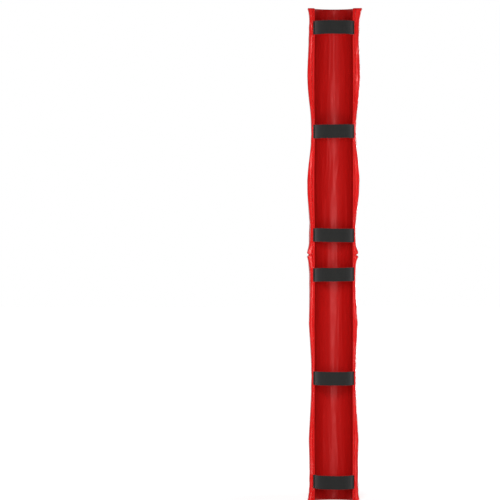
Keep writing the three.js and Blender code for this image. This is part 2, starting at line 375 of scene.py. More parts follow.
    def lining_half(self, z: Array, depth: Array, side: Side) -> Array:
        """Points of the back lining from the front centre to the rear seam.

        Args:
            z: Height of each row.
            depth: How far each row lies under the skin.
            side: The half of the pad.

        Returns:
            Rows by lanes by (x, y).
        """
        z, depth = z[:, None], depth[:, None]
        face_radius = self.inner_radius + depth
        arc = on_arc(face_radius, self.arc_shares()[None, :] * self.wrap_angle(z))
        rounding = self.inner_corner_radius
        corner_past = self.corner_radius - depth - rounding
        turn = np.linspace(math.pi, math.pi / 2, self.corner_lanes)[None, :]
        outward = face_radius + rounding * (1 + np.cos(turn))
        corner = self.at_rear_edge(z, outward, corner_past + rounding * np.sin(turn))
        outer, seam = self.edge_radii(z, side)
        start, stop = face_radius + rounding, seam - self.layer_gap
        run = np.linspace(0, 1, self.edge_lanes)[None, 1:] ** self.lining_edge_crowding
        width = stop - start
        crown = np.minimum(self.edge_crown, self.lining_crown_share * width) * 4 * run * (1 - run)
        past = self.corner_radius - depth + crown
        past = past - self.crease((1 - run) * width, outer - self.inner_radius, depth)
        edge = self.at_rear_edge(z, start + width * run, past)
        return self.mirrored(np.concatenate([arc, corner, edge], axis=1), side)

    @staticmethod
    def mirrored(points: Array, side: Side) -> Array:
        """The points on the given side."""
        return points * np.array([side.value, 1])

    def stations(self, low: float, high: float, spacing: RowSpacing) -> Array:
        """Heights of the rows between two heights, closer together where the skin is gathered.

        Args:
            low: Lowest height.
            high: Highest height.
            spacing: How closely the rows lie.

        Returns:
            The rising heights.
        """
        z = np.linspace(low, high, spacing.samples)
        density = np.full_like(z, 1 / spacing.coarse)
        density += bell(z - self.section_length, spacing.fold_reach) / spacing.fine
        for place in (0, self.total_length):
            density += bell(z - place, spacing.end_reach) / (spacing.end_ease * spacing.fine)
        for strap in self.straps():
            for edge in (-1, 1):
                place = strap.height + edge * self.strap_width / 2
                density += spacing.strap_share * bell(z - place, spacing.strap_reach) / spacing.coarse
        steps = np.concatenate([[0], np.cumsum((density[1:] + density[:-1]) / 2 * np.diff(z))])
        return np.interp(np.linspace(0, steps[-1], int(steps[-1]) + 1), steps, z)


def joined(halves: dict[Side, Array]) -> Array:
    """Both halves of a row of lanes as one run from the left rear seam to the right one."""
    return np.concatenate([halves[Side.LEFT][:, :0:-1], halves[Side.RIGHT]], axis=1)


def with_height(places: Array, z: Array) -> Array:
    """Rows of (x, y) as points, with each row at its height."""
    tall = np.broadcast_to(z[:, None, None], (*places.shape[:2], 1))
    return np.concatenate([places, tall], axis=2)


def whole_face(half: Callable[[Array, Array, Side], Array], z: Array, depth: Array) -> Array:
    """Points of one whole face of the pad, from the left rear seam round to the right one."""
    return with_height(joined({side: half(z, depth, side) for side in Side}), z)


def make_object(
    name: str, points: Array, faces: Array | list, flat: Array | None = None
) -> bpy.types.Object:
    """A smooth-shaded mesh object.

    Args:
        name: Name of the piece.
        points: Its vertices.
        faces: Vertex numbers of its faces.
        flat: Place of each vertex on the flat cut of the material, in metres.

    Returns:
        The new object.
    """
    mesh = bpy.data.meshes.new(name)
    mesh.from_pydata(np.asarray(points, float).tolist(), [], [list(map(int, face)) for face in faces])
    mesh.polygons.foreach_set("use_smooth", np.ones(len(mesh.polygons), bool))
    if flat is not None:
        corners = np.zeros(len(mesh.loops), np.int32)
        mesh.loops.foreach_get("vertex_index", corners)
        layer = mesh.uv_layers.new(name=PANEL_MAP)
        layer.data.foreach_set("uv", np.asarray(flat, np.float32)[corners].ravel())
    mesh.update()
    piece = bpy.data.objects.new(name, mesh)
    bpy.context.scene.collection.objects.link(piece)
    return piece


def tube_faces(rings: int, sides: int, first: int = 0) -> list[list[int]]:
    """Faces of a closed tube whose rings of vertices follow each other.

    Args:
        rings: Number of rings.
        sides: Vertices in each ring.
        first: Number of the first vertex.

    Returns:
        Vertex numbers of the faces round the tube and at its two ends.
    """
    index = np.arange(first, first + rings * sides).reshape(rings, sides)
    after = np.roll(index, -1, axis=1)
    quads = np.stack([part.ravel() for part in (index[:-1], after[:-1], after[1:], index[1:])], axis=1)
    return quads.tolist() + [index[0, ::-1].tolist(), index[-1].tolist()]


def tube(name: str, points: Array, flat: Array) -> bpy.types.Object:
    """A closed tube through rings of points, each with its place on the flat cut of the material."""
    return make_object(name, points.reshape(-1, 3), tube_faces(*points.shape[:2]), flat.reshape(-1, 2))


@dataclass
class Sheet:
    """A grid of points over one side of a sewn panel: rows run up the pad, columns from left to right."""

    points: Array
    faces_channel: bool = False

    def normals(self) -> Array:
        """Directions out of the exposed side.

        Returns:
            The unit normal at each point.
        """
        across = np.gradient(self.points, axis=1)
        upward = np.gradient(self.points, axis=0)
        normal = np.cross(across, upward)
        return unit(-normal if self.faces_channel else normal)

    def across(self) -> Array:
        """Measures each row from the middle column.

        Returns:
            Distance of each point from the middle one, along its row.
        """
        steps = np.linalg.norm(np.diff(self.points, axis=1), axis=-1)
        total = np.concatenate([np.zeros((len(steps), 1)), np.cumsum(steps, axis=1)], axis=1)
        middle = self.points.shape[1] // 2
        return total - total[:, middle : middle + 1]

    def lifted(self, height: Array) -> "Sheet":
        """The sheet with its points moved out along their normals."""
        return Sheet(self.points + self.normals() * height[..., None], self.faces_channel)

    def numbers(self) -> Array:
        """Vertex numbers of the sheet's points."""
        rows, columns = self.points.shape[:2]
        return np.arange(rows * columns).reshape(rows, columns)

    def quads(self) -> Array:
        """The sheet's own faces.

        Returns:
            Vertex numbers of each face, wound so that it looks out of the exposed side.
        """
        index = self.numbers()
        corners = (index[:-1, :-1], index[:-1, 1:], index[1:, 1:], index[1:, :-1])
        found = np.stack([corner.ravel() for corner in corners], axis=1)
        return found[:, ::-1] if self.faces_channel else found

    def shell(self, name: str, thickness: float) -> bpy.types.Object:
        """A closed shell with this sheet as its exposed side.

        Args:
            name: Name of the piece.
            thickness: Thickness of the material.

        Returns:
            The new object.
        """
        hidden = self.points - self.normals() * thickness
        index = self.numbers()
        rim = np.concatenate([index[0, :-1], index[:-1, -1], index[-1, :0:-1], index[:0:-1, 0]])
        after = np.roll(rim, -1)
        border = np.stack([after, rim, rim + index.size, after + index.size], axis=1)
        face = self.quads()
        back = np.roll(face[:, ::-1], 1, axis=1) + index.size
        quads = np.concatenate([face, back, border[:, ::-1] if self.faces_channel else border])
        points = np.concatenate([self.points.reshape(-1, 3), hidden.reshape(-1, 3)])
        flat = np.stack([self.across(), self.points[..., 2]], axis=-1).reshape(-1, 2)
        return make_object(name, points, quads, np.concatenate([flat, flat]))


class NodeSheet:
    """Short calls that lay out one node tree."""

    def __init__(self, tree: bpy.types.NodeTree) -> None:
        """Keeps the tree.

        Args:
            tree: Tree to add to.
        """
        self.tree = tree

    def feed(self, node: bpy.types.Node, inputs: dict) -> bpy.types.Node:
        """Sets or links a node's inputs.

        Args:
            node: The node.
            inputs: Socket names or numbers with a value, or with an output socket to link.

        Returns:
            The same node.
        """
        for key, value in inputs.items():
            if isinstance(value, bpy.types.NodeSocket):
                self.tree.links.new(value, node.inputs[key])
            else:
                node.inputs[key].default_value = value
        return node

    def add(self, kind: str, inputs: dict | None = None, **settings: object) -> bpy.types.Node:
        """Adds a node.

        Args:
            kind: The node's type.
            inputs: Socket names or numbers with a value, or with an output socket to link.
            settings: Other properties of the node.

        Returns:
            The node.
        """
        node = self.tree.nodes.new(kind)
        for key, value in settings.items():
            setattr(node, key, value)
        return self.feed(node, inputs or {})

    def maths(self, operation: str, *values: object) -> bpy.types.NodeSocket:
        """The result of one sum on sockets and numbers."""
        return self.add("ShaderNodeMath", dict(enumerate(values)), operation=operation).outputs[0]

    def scaled(self, vector: bpy.types.NodeSocket, by: object) -> bpy.types.NodeSocket:
        """A vector times a number."""
        return self.add("ShaderNodeVectorMath", {0: vector, "Scale": by}, operation="SCALE").outputs[0]

    def ranged(self, value: bpy.types.NodeSocket, *limits: float) -> bpy.types.NodeSocket:
        """A value from between the first two limits, brought between the last two, or between 0 and 1."""
        inputs = {0: value} | dict(enumerate(limits, 1))
        return self.add("ShaderNodeMapRange", inputs, clamp=True).outputs[0]

    def bumped(self, height: bpy.types.NodeSocket, depth: float, strength: float) -> bpy.types.NodeSocket:
        """A normal that follows a height."""
        inputs = {"Height": height, "Distance": depth, "Strength": strength}
        return self.add("ShaderNodeBump", inputs).outputs[0]

    def effect(self, group: bpy.types.NodeTree, inputs: dict) -> bpy.types.bpy_prop_collection:
        """The outputs of a shared effect, placed with its own values."""
        return self.add("ShaderNodeGroup", inputs, node_tree=group).outputs


def emptied(owner: bpy.types.Material | bpy.types.World) -> NodeSheet:
    """Clears a material's or world's own node tree.

    Args:
        owner: The material or world.

    Returns:
        A node sheet over its empty tree.
    """
    owner.use_nodes = True
    owner.node_tree.nodes.clear()
    return NodeSheet(owner.node_tree)


class Effects:
    """The shared effects, each a shader node group that is built once."""

    wear_limits: tuple[float, ...] = (0.42, 0.68)
    weave_shades: tuple[float, ...] = (0.0, 1.1, 0.55, 1.15)
    fuzz_shades: tuple[float, ...] = (0.3, 0.7, 0.6, 1.25)
    roll_scale_share: float = 0.07
    crossing_share: float = 0.35

    def __init__(self) -> None:
        """Builds every group."""
        self.tone = self.tone_drift()
        self.grain = self.pressed_grain()
        self.wear = self.handling_wear()
        self.weave = self.plain_weave()
        self.fuzz = self.short_fuzz()

    @staticmethod
    def start(
        name: str, inputs: dict[str, Socket], outputs: dict[str, Socket]
    ) -> tuple[NodeSheet, bpy.types.bpy_prop_collection, bpy.types.Node]:
        """Makes an empty group.

        Args:
            name: Name of the group.
            inputs: Its named inputs and their kinds.
            outputs: Its named outputs and their kinds.

        Returns:
            Its node sheet, the values given to it and its output node.
        """
        group = bpy.data.node_groups.new(name, "ShaderNodeTree")
        for way, sockets in (("INPUT", inputs), ("OUTPUT", outputs)):
            for label, kind in sockets.items():
                group.interface.new_socket(label, in_out=way, socket_type=kind.value)
        sheet = NodeSheet(group)
        return sheet, sheet.add("NodeGroupInput").outputs, sheet.add("NodeGroupOutput")

    @staticmethod
    def noise(
        sheet: NodeSheet, given: bpy.types.bpy_prop_collection, **look: float
    ) -> bpy.types.NodeSocket:
        """Layered noise at a group's own place and scale, with the given look."""
        inputs = {"Vector": given["Place"], "Scale": given["Scale"]} | look
        return sheet.add("ShaderNodeTexNoise", inputs).outputs["Fac"]

    def tone_drift(self) -> bpy.types.NodeTree:
        """Slow changes of tone over a surface.

        Returns:
            The group.
        """
        inputs = {
            "Place": Socket.VECTOR,
            "Scale": Socket.NUMBER,
            "Colour": Socket.COLOUR,
            "Amount": Socket.NUMBER,
        }
        sheet, given, result = self.start("Tone drift", inputs, {"Colour": Socket.COLOUR})
        centred = sheet.maths("SUBTRACT", self.noise(sheet, given, Detail=3.0), 0.5)
        change = sheet.maths("MULTIPLY_ADD", centred, given["Amount"], 1.0)
        sheet.feed(result, {"Colour": sheet.scaled(given["Colour"], change)})
        return sheet.tree

    def pressed_grain(self) -> bpy.types.NodeTree:
        """Fine grain pressed into coated cloth: small rounded cells over a softer roll.

        Returns:
            The group.
        """
        inputs = {"Place": Socket.VECTOR, "Cells per metre": Socket.NUMBER, "Roll": Socket.NUMBER}
        sheet, given, result = self.start("Pressed grain", inputs, {"Height": Socket.NUMBER})
        place, scale = given["Place"], given["Cells per metre"]
        cells = sheet.add("ShaderNodeTexVoronoi", {"Vector": place, "Scale": scale}, feature="SMOOTH_F1")
        slower = sheet.maths("MULTIPLY", scale, self.roll_scale_share)
        roll = sheet.add("ShaderNodeTexNoise", {"Vector": place, "Scale": slower, "Detail": 2.0})
        height = sheet.maths("MULTIPLY_ADD", roll.outputs["Fac"], given["Roll"], cells.outputs["Distance"])
        sheet.feed(result, {"Height": height})
        return sheet.tree

    def handling_wear(self) -> bpy.types.NodeTree:
        """Patches that handling has dulled, as a change of roughness.

        Returns:
            The group.
        """
        inputs = {
            "Place": Socket.VECTOR,
            "Scale": Socket.NUMBER,
            "Base": Socket.NUMBER,
            "Amount": Socket.NUMBER,
        }
        sheet, given, result = self.start("Handling wear", inputs, {"Roughness": Socket.NUMBER})
        mask = sheet.ranged(self.noise(sheet, given, Detail=6.0, Roughness=0.62), *self.wear_limits)
        sheet.feed(result, {"Roughness": sheet.maths("MULTIPLY_ADD", mask, given["Amount"], given["Base"])})
        return sheet.tree

    def plain_weave(self) -> bpy.types.NodeTree:
        """Over and under yarns of tight webbing.

        Returns:
            The group.
        """
        inputs = {"Place": Socket.VECTOR, "Warp per metre": Socket.NUMBER, "Weft per metre": Socket.NUMBER}
        outputs = {"Height": Socket.NUMBER, "Shade": Socket.NUMBER}
        sheet, given, result = self.start("Plain weave", inputs, outputs)
        places = sheet.add("ShaderNodeSeparateXYZ", {0: given["Place"]}).outputs
        yarns = []
        for place, label in ((places[1], "Warp per metre"), (places[0], "Weft per metre")):
            turn = sheet.maths("MULTIPLY", given[label], math.pi)
            yarns.append(sheet.maths("SINE", sheet.maths("MULTIPLY", place, turn)))
        crossing = sheet.maths("MULTIPLY", *yarns)
        ridges = sheet.maths("ABSOLUTE", yarns[0])
        height = sheet.maths("MULTIPLY_ADD", crossing, self.crossing_share, ridges)
        sheet.feed(result, {"Height": height, "Shade": sheet.ranged(height, *self.weave_shades)})
        return sheet.tree

    def short_fuzz(self) -> bpy.types.NodeTree:
        """Matted fibres or cell walls: broken noise with hard valleys.

        Returns:
            The group.
        """
        inputs = {"Place": Socket.VECTOR, "Scale": Socket.NUMBER}
        outputs = {"Height": Socket.NUMBER, "Shade": Socket.NUMBER}
        sheet, given, result = self.start("Short fuzz", inputs, outputs)
        height = self.noise(sheet, given, Detail=8.0, Roughness=0.7)
        sheet.feed(result, {"Height": height, "Shade": sheet.ranged(height, *self.fuzz_shades)})
        return sheet.tree


@dataclass(frozen=True)
class Finish:
    """What every finish shares: its name, its colour and how its surface scatters light."""

    name: str
    colour: tuple[float, float, float]
    roughness: float
    specular: float

    def start(self) -> tuple[bpy.types.Material, NodeSheet, bpy.types.Node, bpy.types.NodeSocket]:
        """Makes the bare material.

        Returns:
            The material, its node sheet, its shader and the flat place on the panel.
        """
        material = bpy.data.materials.new(self.name)
        sheet = emptied(material)
        shader = sheet.add("ShaderNodeBsdfPrincipled", {"Specular IOR Level": self.specular})
        sheet.add("ShaderNodeOutputMaterial", {"Surface": shader.outputs[0]})
        place = sheet.add("ShaderNodeUVMap", uv_map=PANEL_MAP)
        return material, sheet, shader, place.outputs[0]


@dataclass(frozen=True)
class VinylFinish(Finish):
    """Coated cloth: saturated, glossy, with a fine pressed grain."""

    gloss_tint: tuple[float, float, float] = (1.0, 0.34, 0.34)
    coat: float = 0.06
    coat_roughness: float = 0.16
    grain_depth: float = 0.00006
    grain_cells: float = 700.0
    grain_roll: float = 0.4
    tone: float = 0.12
    tone_scale: float = 9.0
    wear: float = 0.10
    wear_scale: float = 14.0

    def material(self, effects: Effects) -> bpy.types.Material:
        """Builds the material.

        Args:
            effects: The shared effects.

        Returns:
            The material.
        """
        material, sheet, shader, place = self.start()
        tone = {"Place": place, "Scale": self.tone_scale, "Colour": (*self.colour, 1), "Amount": self.tone}
        wear = {"Place": place, "Scale": self.wear_scale, "Base": self.roughness, "Amount": self.wear}
        grain = {"Place": place, "Cells per metre": self.grain_cells, "Roll": self.grain_roll}
        height = sheet.effect(effects.grain, grain)["Height"]
        # The base colour carries the painted shade of the lining's channel, for a finish that has one.
        sheet.feed(shader, {
            "Base Color": self.with_painted_shade(sheet, sheet.effect(effects.tone, tone)["Colour"], place),
            "Roughness": sheet.effect(effects.wear, wear)["Roughness"],
            "Specular Tint": (*self.gloss_tint, 1),
            "Coat Weight": self.coat,
            "Coat Roughness": self.coat_roughness,
            "Normal": sheet.bumped(height, self.grain_depth, 1.0),
        })
        return material

    def with_painted_shade(
        self, sheet: NodeSheet, colour: bpy.types.NodeSocket, place: bpy.types.NodeSocket
    ) -> bpy.types.NodeSocket:
        """The colour with painted shade, which the outer vinyl has none of, so it comes back unchanged."""
        return colour


@dataclass(frozen=True)
class LiningFinish(VinylFinish):
    """Duller coated cloth, with painted shade that darkens it where it lines the channel."""

    coat: float = 0.0
    # Painted shade: the share of the colour kept where the lining lines the channel, full within the first
    # half width and gone beyond the second.
    painted_channel_shade: float = 0.65
    full_shade_half_width: float = 0.100
    no_shade_half_width: float = 0.112

    def with_painted_shade(
        self, sheet: NodeSheet, colour: bpy.types.NodeSocket, place: bpy.types.NodeSocket
    ) -> bpy.types.NodeSocket:
        """The colour with painted shade, darker over the width that lines the channel, standing in for the
        channel's shade.

        Args:
            sheet: The material's node sheet.
            colour: The colour before the painted shade.
            place: The flat place on the panel.

        Returns:
            The colour.
        """
        across = sheet.maths("ABSOLUTE", sheet.add("ShaderNodeSeparateXYZ", {0: place}).outputs[0])
        # Painted shade: the colour falls to the kept share across the width that lines the channel, in place
        # of the channel's shade.
        share = sheet.ranged(across, self.full_shade_half_width, self.no_shade_half_width, self.painted_channel_shade, 1.0)
        return sheet.scaled(colour, share)


@dataclass(frozen=True)
class WebbingFinish(Finish):
    """Tightly woven strap webbing."""

    depth: float = 0.00018
    bump: float = 0.8
    warp: float = 900.0
    weft: float = 620.0
    tone: float = 0.35
    tone_scale: float = 25.0
    sheen: float = 0.15

    def material(self, effects: Effects) -> bpy.types.Material:
        """Builds the material.

        Args:
            effects: The shared effects.

        Returns:
            The material.
        """
        material, sheet, shader, place = self.start()
        yarns = {"Place": place, "Warp per metre": self.warp, "Weft per metre": self.weft}
        weave = sheet.effect(effects.weave, yarns)
        tone = {"Place": place, "Scale": self.tone_scale, "Colour": (*self.colour, 1), "Amount": self.tone}
        sheet.feed(shader, {
            "Base Color": sheet.scaled(sheet.effect(effects.tone, tone)["Colour"], weave["Shade"]),
            "Roughness": self.roughness,
            "Sheen Weight": self.sheen,
            "Normal": sheet.bumped(weave["Height"], self.depth, self.bump),
        })
        return material


@dataclass(frozen=True)
class FuzzFinish(Finish):
    """Hook and loop faces, thread, and the cut faces of foam."""

    scale: float = 900.0
    depth: float = 0.0003
    bump: float = 0.9

    def material(self, effects: Effects) -> bpy.types.Material:
        """Builds the material.

        Args:
            effects: The shared effects.

        Returns:
            The material.
        """
        material, sheet, shader, place = self.start()
        fuzz = sheet.effect(effects.fuzz, {"Place": place, "Scale": self.scale})
        colour = sheet.add("ShaderNodeCombineXYZ", dict(enumerate(self.colour))).outputs[0]
        sheet.feed(shader, {
            "Base Color": sheet.scaled(colour, fuzz["Shade"]),
            "Roughness": self.roughness,
            "Normal": sheet.bumped(fuzz["Height"], self.depth, self.bump),
        })
        return material


@dataclass(frozen=True)
class ThreadFinish(FuzzFinish):
    """Sewing thread, with finer fibres than the patches."""

    roughness: float = 0.6
    specular: float = 0.3
    scale: float = 2600.0
    depth: float = 0.0001


class Wardrobe:
    """Every finish of the pad as a material, made once."""

    def __init__(self) -> None:
        """Builds the effects and the materials."""
        effects = Effects()
        vinyl = VinylFinish("Red vinyl", (0.70, 0.009, 0.008), roughness=0.22, specular=0.28)
        lining = LiningFinish("Red lining", (0.64, 0.009, 0.008), roughness=0.36, specular=0.24)
        webbing = WebbingFinish("Black webbing", (0.0112, 0.0112, 0.0107), roughness=0.78, specular=0.2)
        patch = FuzzFinish("Black hook and loop", (0.012, 0.012, 0.012), roughness=0.92, specular=0.2)
        self.vinyl, self.lining = vinyl.material(effects), lining.material(effects)
        self.webbing, self.patch = webbing.material(effects), patch.material(effects)
        self.red_thread = ThreadFinish("Red thread", (0.42, 0.012, 0.014)).material(effects)
        self.black_thread = ThreadFinish("Black thread", (0.02, 0.02, 0.02)).material(effects)
        foam = FuzzFinish(
            "Foam", (0.80, 0.76, 0.64), roughness=0.95, specular=0.1, scale=420.0, depth=0.0006
        )
        self.foam = foam.material(effects)


def finished(piece: bpy.types.Object, material: bpy.types.Material) -> bpy.types.Object:
    """Gives a piece its material, and reports it.

    Args:
        piece: The piece.
        material: Its material.

    Returns:
        The same piece.
    """
    piece.data.materials.append(material)
    log.info("%s: %d faces", piece.name, len(piece.data.polygons))
    return piece


def bent(piece: bpy.types.Object) -> None:
    """Bakes the transform of a piece that crosses the front centre line into its mesh."""
    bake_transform(piece)


def stand_for_halves(node: str) -> None:
    """Lets a piece stand for both halves of a pad piece."""
    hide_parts(*(f"{node}_{side.name.lower()}" for side in Side))


@dataclass(frozen=True)
class Gathers:
    """How far the vinyl rises and sinks over the smooth form where it is sewn and strapped."""

    slack: float = 0.0005
    slack_ripple: Ripple = Ripple(seed=7, width=0.055, length=0.13)
    lower_streak: float = 0.0016
    upper_streak: float = 0.0034
    streak_ripple: Ripple = Ripple(seed=8, width=0.0075, length=0.09)
    streak_drift: float = 0.004
    drift_ripple: Ripple = Ripple(seed=8, width=0.05, length=0.07, shift=90)
    crest_height: float = 0.5
    crest_slope: float = 1.3
    strap_pucker: float = 0.0014
    pucker_ripple: Ripple = Ripple(seed=9, width=0.011, length=0.022)
    pucker_fan: float = 0.05
    pucker_reach: float = 0.032
    seam_gather_front: float = 0.0010
    seam_gather_rear: float = 0.0020
    seam_ripple: Ripple = Ripple(seed=10, width=0.0085, length=0.03)
    seam_reach: float = 0.016
    seam_calm: float = 0.003
    upper_shift: float = 40
    end_gather: float = 0.0011
    end_ripple: Ripple = Ripple(seed=11, width=0.012, length=0.03)
    end_reach: float = 0.022
    end_calm: tuple[float, float] = (0.001, 0.006)
    hem_inset: float = 0.033
    hem_depth: float = 0.0009
    hem_half_width: float = 0.0022

    def streaks(self, shape: PadShape, across: Array, z: Array) -> Array:
        """Long crinkles that run up the rear edges, each a thin crest between shallow hollows.

        Args:
            shape: The pad's form.
            across: Distance from the front centre along the row.
            z: Height up the pad.

        Returns:
            The height at each point.
        """
        drift = self.streak_drift * self.drift_ripple.at(across, z)
        crest = self.crest_height - self.crest_slope * np.abs(self.streak_ripple.at(across + drift, z))
        return np.where(z > shape.section_length, self.upper_streak, self.lower_streak) * crest

    def lift(self, shape: PadShape, across: Array, z: Array, rear: Array, edge: Array) -> Array:
        """Height of the skin over the smooth form of the cover.

        Args:
            shape: The pad's form.
            across: Distance from the front centre along the row.
            z: Height up the pad.
            rear: 0 over the front and 1 towards the rear edges.
            edge: 1 on the faces that look to the rear and 0 before them.

        Returns:
            The height at each point.
        """
        from_seam, from_end = np.abs(z - shape.section_length), shape.from_end(z)
        height = self.slack * self.slack_ripple.at(across, z)
        height = height + edge * self.streaks(shape, across, z)
        for strap in shape.straps():
            beyond = shape.beyond_strap(strap, z)
            pucker = self.pucker_ripple.at(across, z, beyond / self.pucker_fan)
            height = height + self.strap_pucker * rear * pucker * bell(beyond, self.pucker_reach)
        gather = self.seam_gather_front + (self.seam_gather_rear - self.seam_gather_front) * rear
        fade = np.exp(-from_seam / self.seam_reach) * smoothstep(0, self.seam_calm, from_seam)
        upper = self.upper_shift * (z > shape.section_length)
        height = height + gather * fade * self.seam_ripple.at(across, from_seam, upper)
        fade = bell(from_end, self.end_reach) * smoothstep(*self.end_calm, from_end)
        height = height + self.end_gather * fade * self.end_ripple.at(across, z)
        return height - self.hem_depth * bell(from_end - self.hem_inset, self.hem_half_width)


@dataclass(frozen=True)
class LiningFolds:
    """Folds that the bend round the channel presses into the lining."""

    deepest: float = 0.0021
    hollow_share: float = 0.65
    hollow_ripple: Ripple = Ripple(seed=31, width=0.014, length=0.15)
    crease_share: float = 0.55
    crease_ripple: Ripple = Ripple(seed=47, width=0.013, length=0.28)
    crease_sharpness: float = 0.16
    drift: float = 0.006
    drift_ripple: Ripple = Ripple(seed=31, width=0.05, length=0.09, shift=20)
    break_ripple: Ripple = Ripple(seed=47, width=0.02, length=0.05, shift=60)
    break_level: float = 0.6

    def depth(self, across: Array, z: Array) -> Array:
        """Depth of the folds.

        Args:
            across: Distance from the front centre along the row.
            z: Height up the pad.

        Returns:
            The depth at each point.
        """
        hollow = np.clip(self.hollow_ripple.at(across, z), 0, 1)
        line = self.crease_ripple.at(across + self.drift * self.drift_ripple.at(across, z), z)
        unbroken = np.clip(self.break_ripple.at(across, z) + self.break_level, 0, 1)
        crease = bell(line, self.crease_sharpness) * unbroken
        return self.deepest * (self.hollow_share * hollow + self.crease_share * crease)


@dataclass(frozen=True)
class SewnCloth:
    """Settles a sewn sheet as cloth that the foam pushes out between the places where it is held."""

    frames: int = 20
    pressure: float = 4.0
    mass: float = 0.25
    stretch_stiffness: float = 22.0
    shear_stiffness: float = 8.0
    bend_stiffness: float = 0.6
    quality: int = 6
    swell: float = 0.0012
    outward_cap: float = 0.0034
    inward_cap: float = 0.0016

    def prepared(self, name: str, sheet: Sheet, rest: Array, held: Array) -> bpy.types.Object:
        """A cloth object of one sheet.

        Args:
            name: Name of the object.
            sheet: Where the cloth starts.
            rest: Points of the same sheet as it was cut, before sewing and strapping drew it in.
            held: 1 where the cloth is held fast and 0 where it is free.

        Returns:
            The object, with its cloth modifier.
        """
        piece = make_object(name, sheet.points.reshape(-1, 3), sheet.quads())
        piece.shape_key_add(name="Sewn")
        cut = piece.shape_key_add(name="Cut")
        cut.data.foreach_set("co", rest.astype(np.float32).ravel())
        group = piece.vertex_groups.new(name="Held")
        for vertex in np.flatnonzero(held.ravel() > 0):
            group.add([int(vertex)], float(held.ravel()[vertex]), "REPLACE")
        cloth = piece.modifiers.new("Settling", "CLOTH")
        cloth.collision_settings.use_collision = False
        cloth.point_cache.frame_start, cloth.point_cache.frame_end = 1, self.frames
        settings = cloth.settings
        settings.quality, settings.mass = self.quality, self.mass
        settings.tension_stiffness = settings.compression_stiffness = self.stretch_stiffness
        settings.shear_stiffness, settings.bending_stiffness = self.shear_stiffness, self.bend_stiffness
        settings.use_pressure, settings.uniform_pressure_force = True, self.pressure
        settings.vertex_group_mass = group.name
        settings.rest_shape_key = cut
        settings.effector_weights.gravity = 0
        return piece

    def settle(self, name: str, sheet: Sheet, rest: Array, held: Array) -> Array:
        """Runs the cloth and measures how far it moved.

        Args:
            name: Name of the passing cloth object.
            sheet: Where the cloth starts.
            rest: Points of the same sheet as it was cut.
            held: 1 where the cloth is held fast and 0 where it is free.

        Returns:
            Movement of each point along its normal, within the caps.
        """
        piece, scene = self.prepared(name, sheet, rest, held), bpy.context.scene
        for step in range(1, self.frames + 1):
            scene.frame_set(step)
        settled = piece.evaluated_get(bpy.context.evaluated_depsgraph_get())
        moved = np.zeros(3 * len(settled.data.vertices), np.float32)
        settled.data.vertices.foreach_get("co", moved)
        mesh = piece.data
        bpy.data.objects.remove(piece)
        bpy.data.meshes.remove(mesh)
        scene.frame_set(1)
        move = ((moved.reshape(sheet.points.shape) - sheet.points) * sheet.normals()).sum(axis=-1)
        log.info("%s moved %.1f to %.1f mm", name, move.min() * 1000, move.max() * 1000)
        move = move - self.swell
        cap = np.where(move > 0, self.outward_cap, self.inward_cap)
        return cap * np.tanh(move / cap)


@dataclass(frozen=True)
class RimDepths:
    """How far a cross panel's rims lie under the cover's face, the lining's face and the rear edges."""

    outer: float
    inner: float
    rear: float


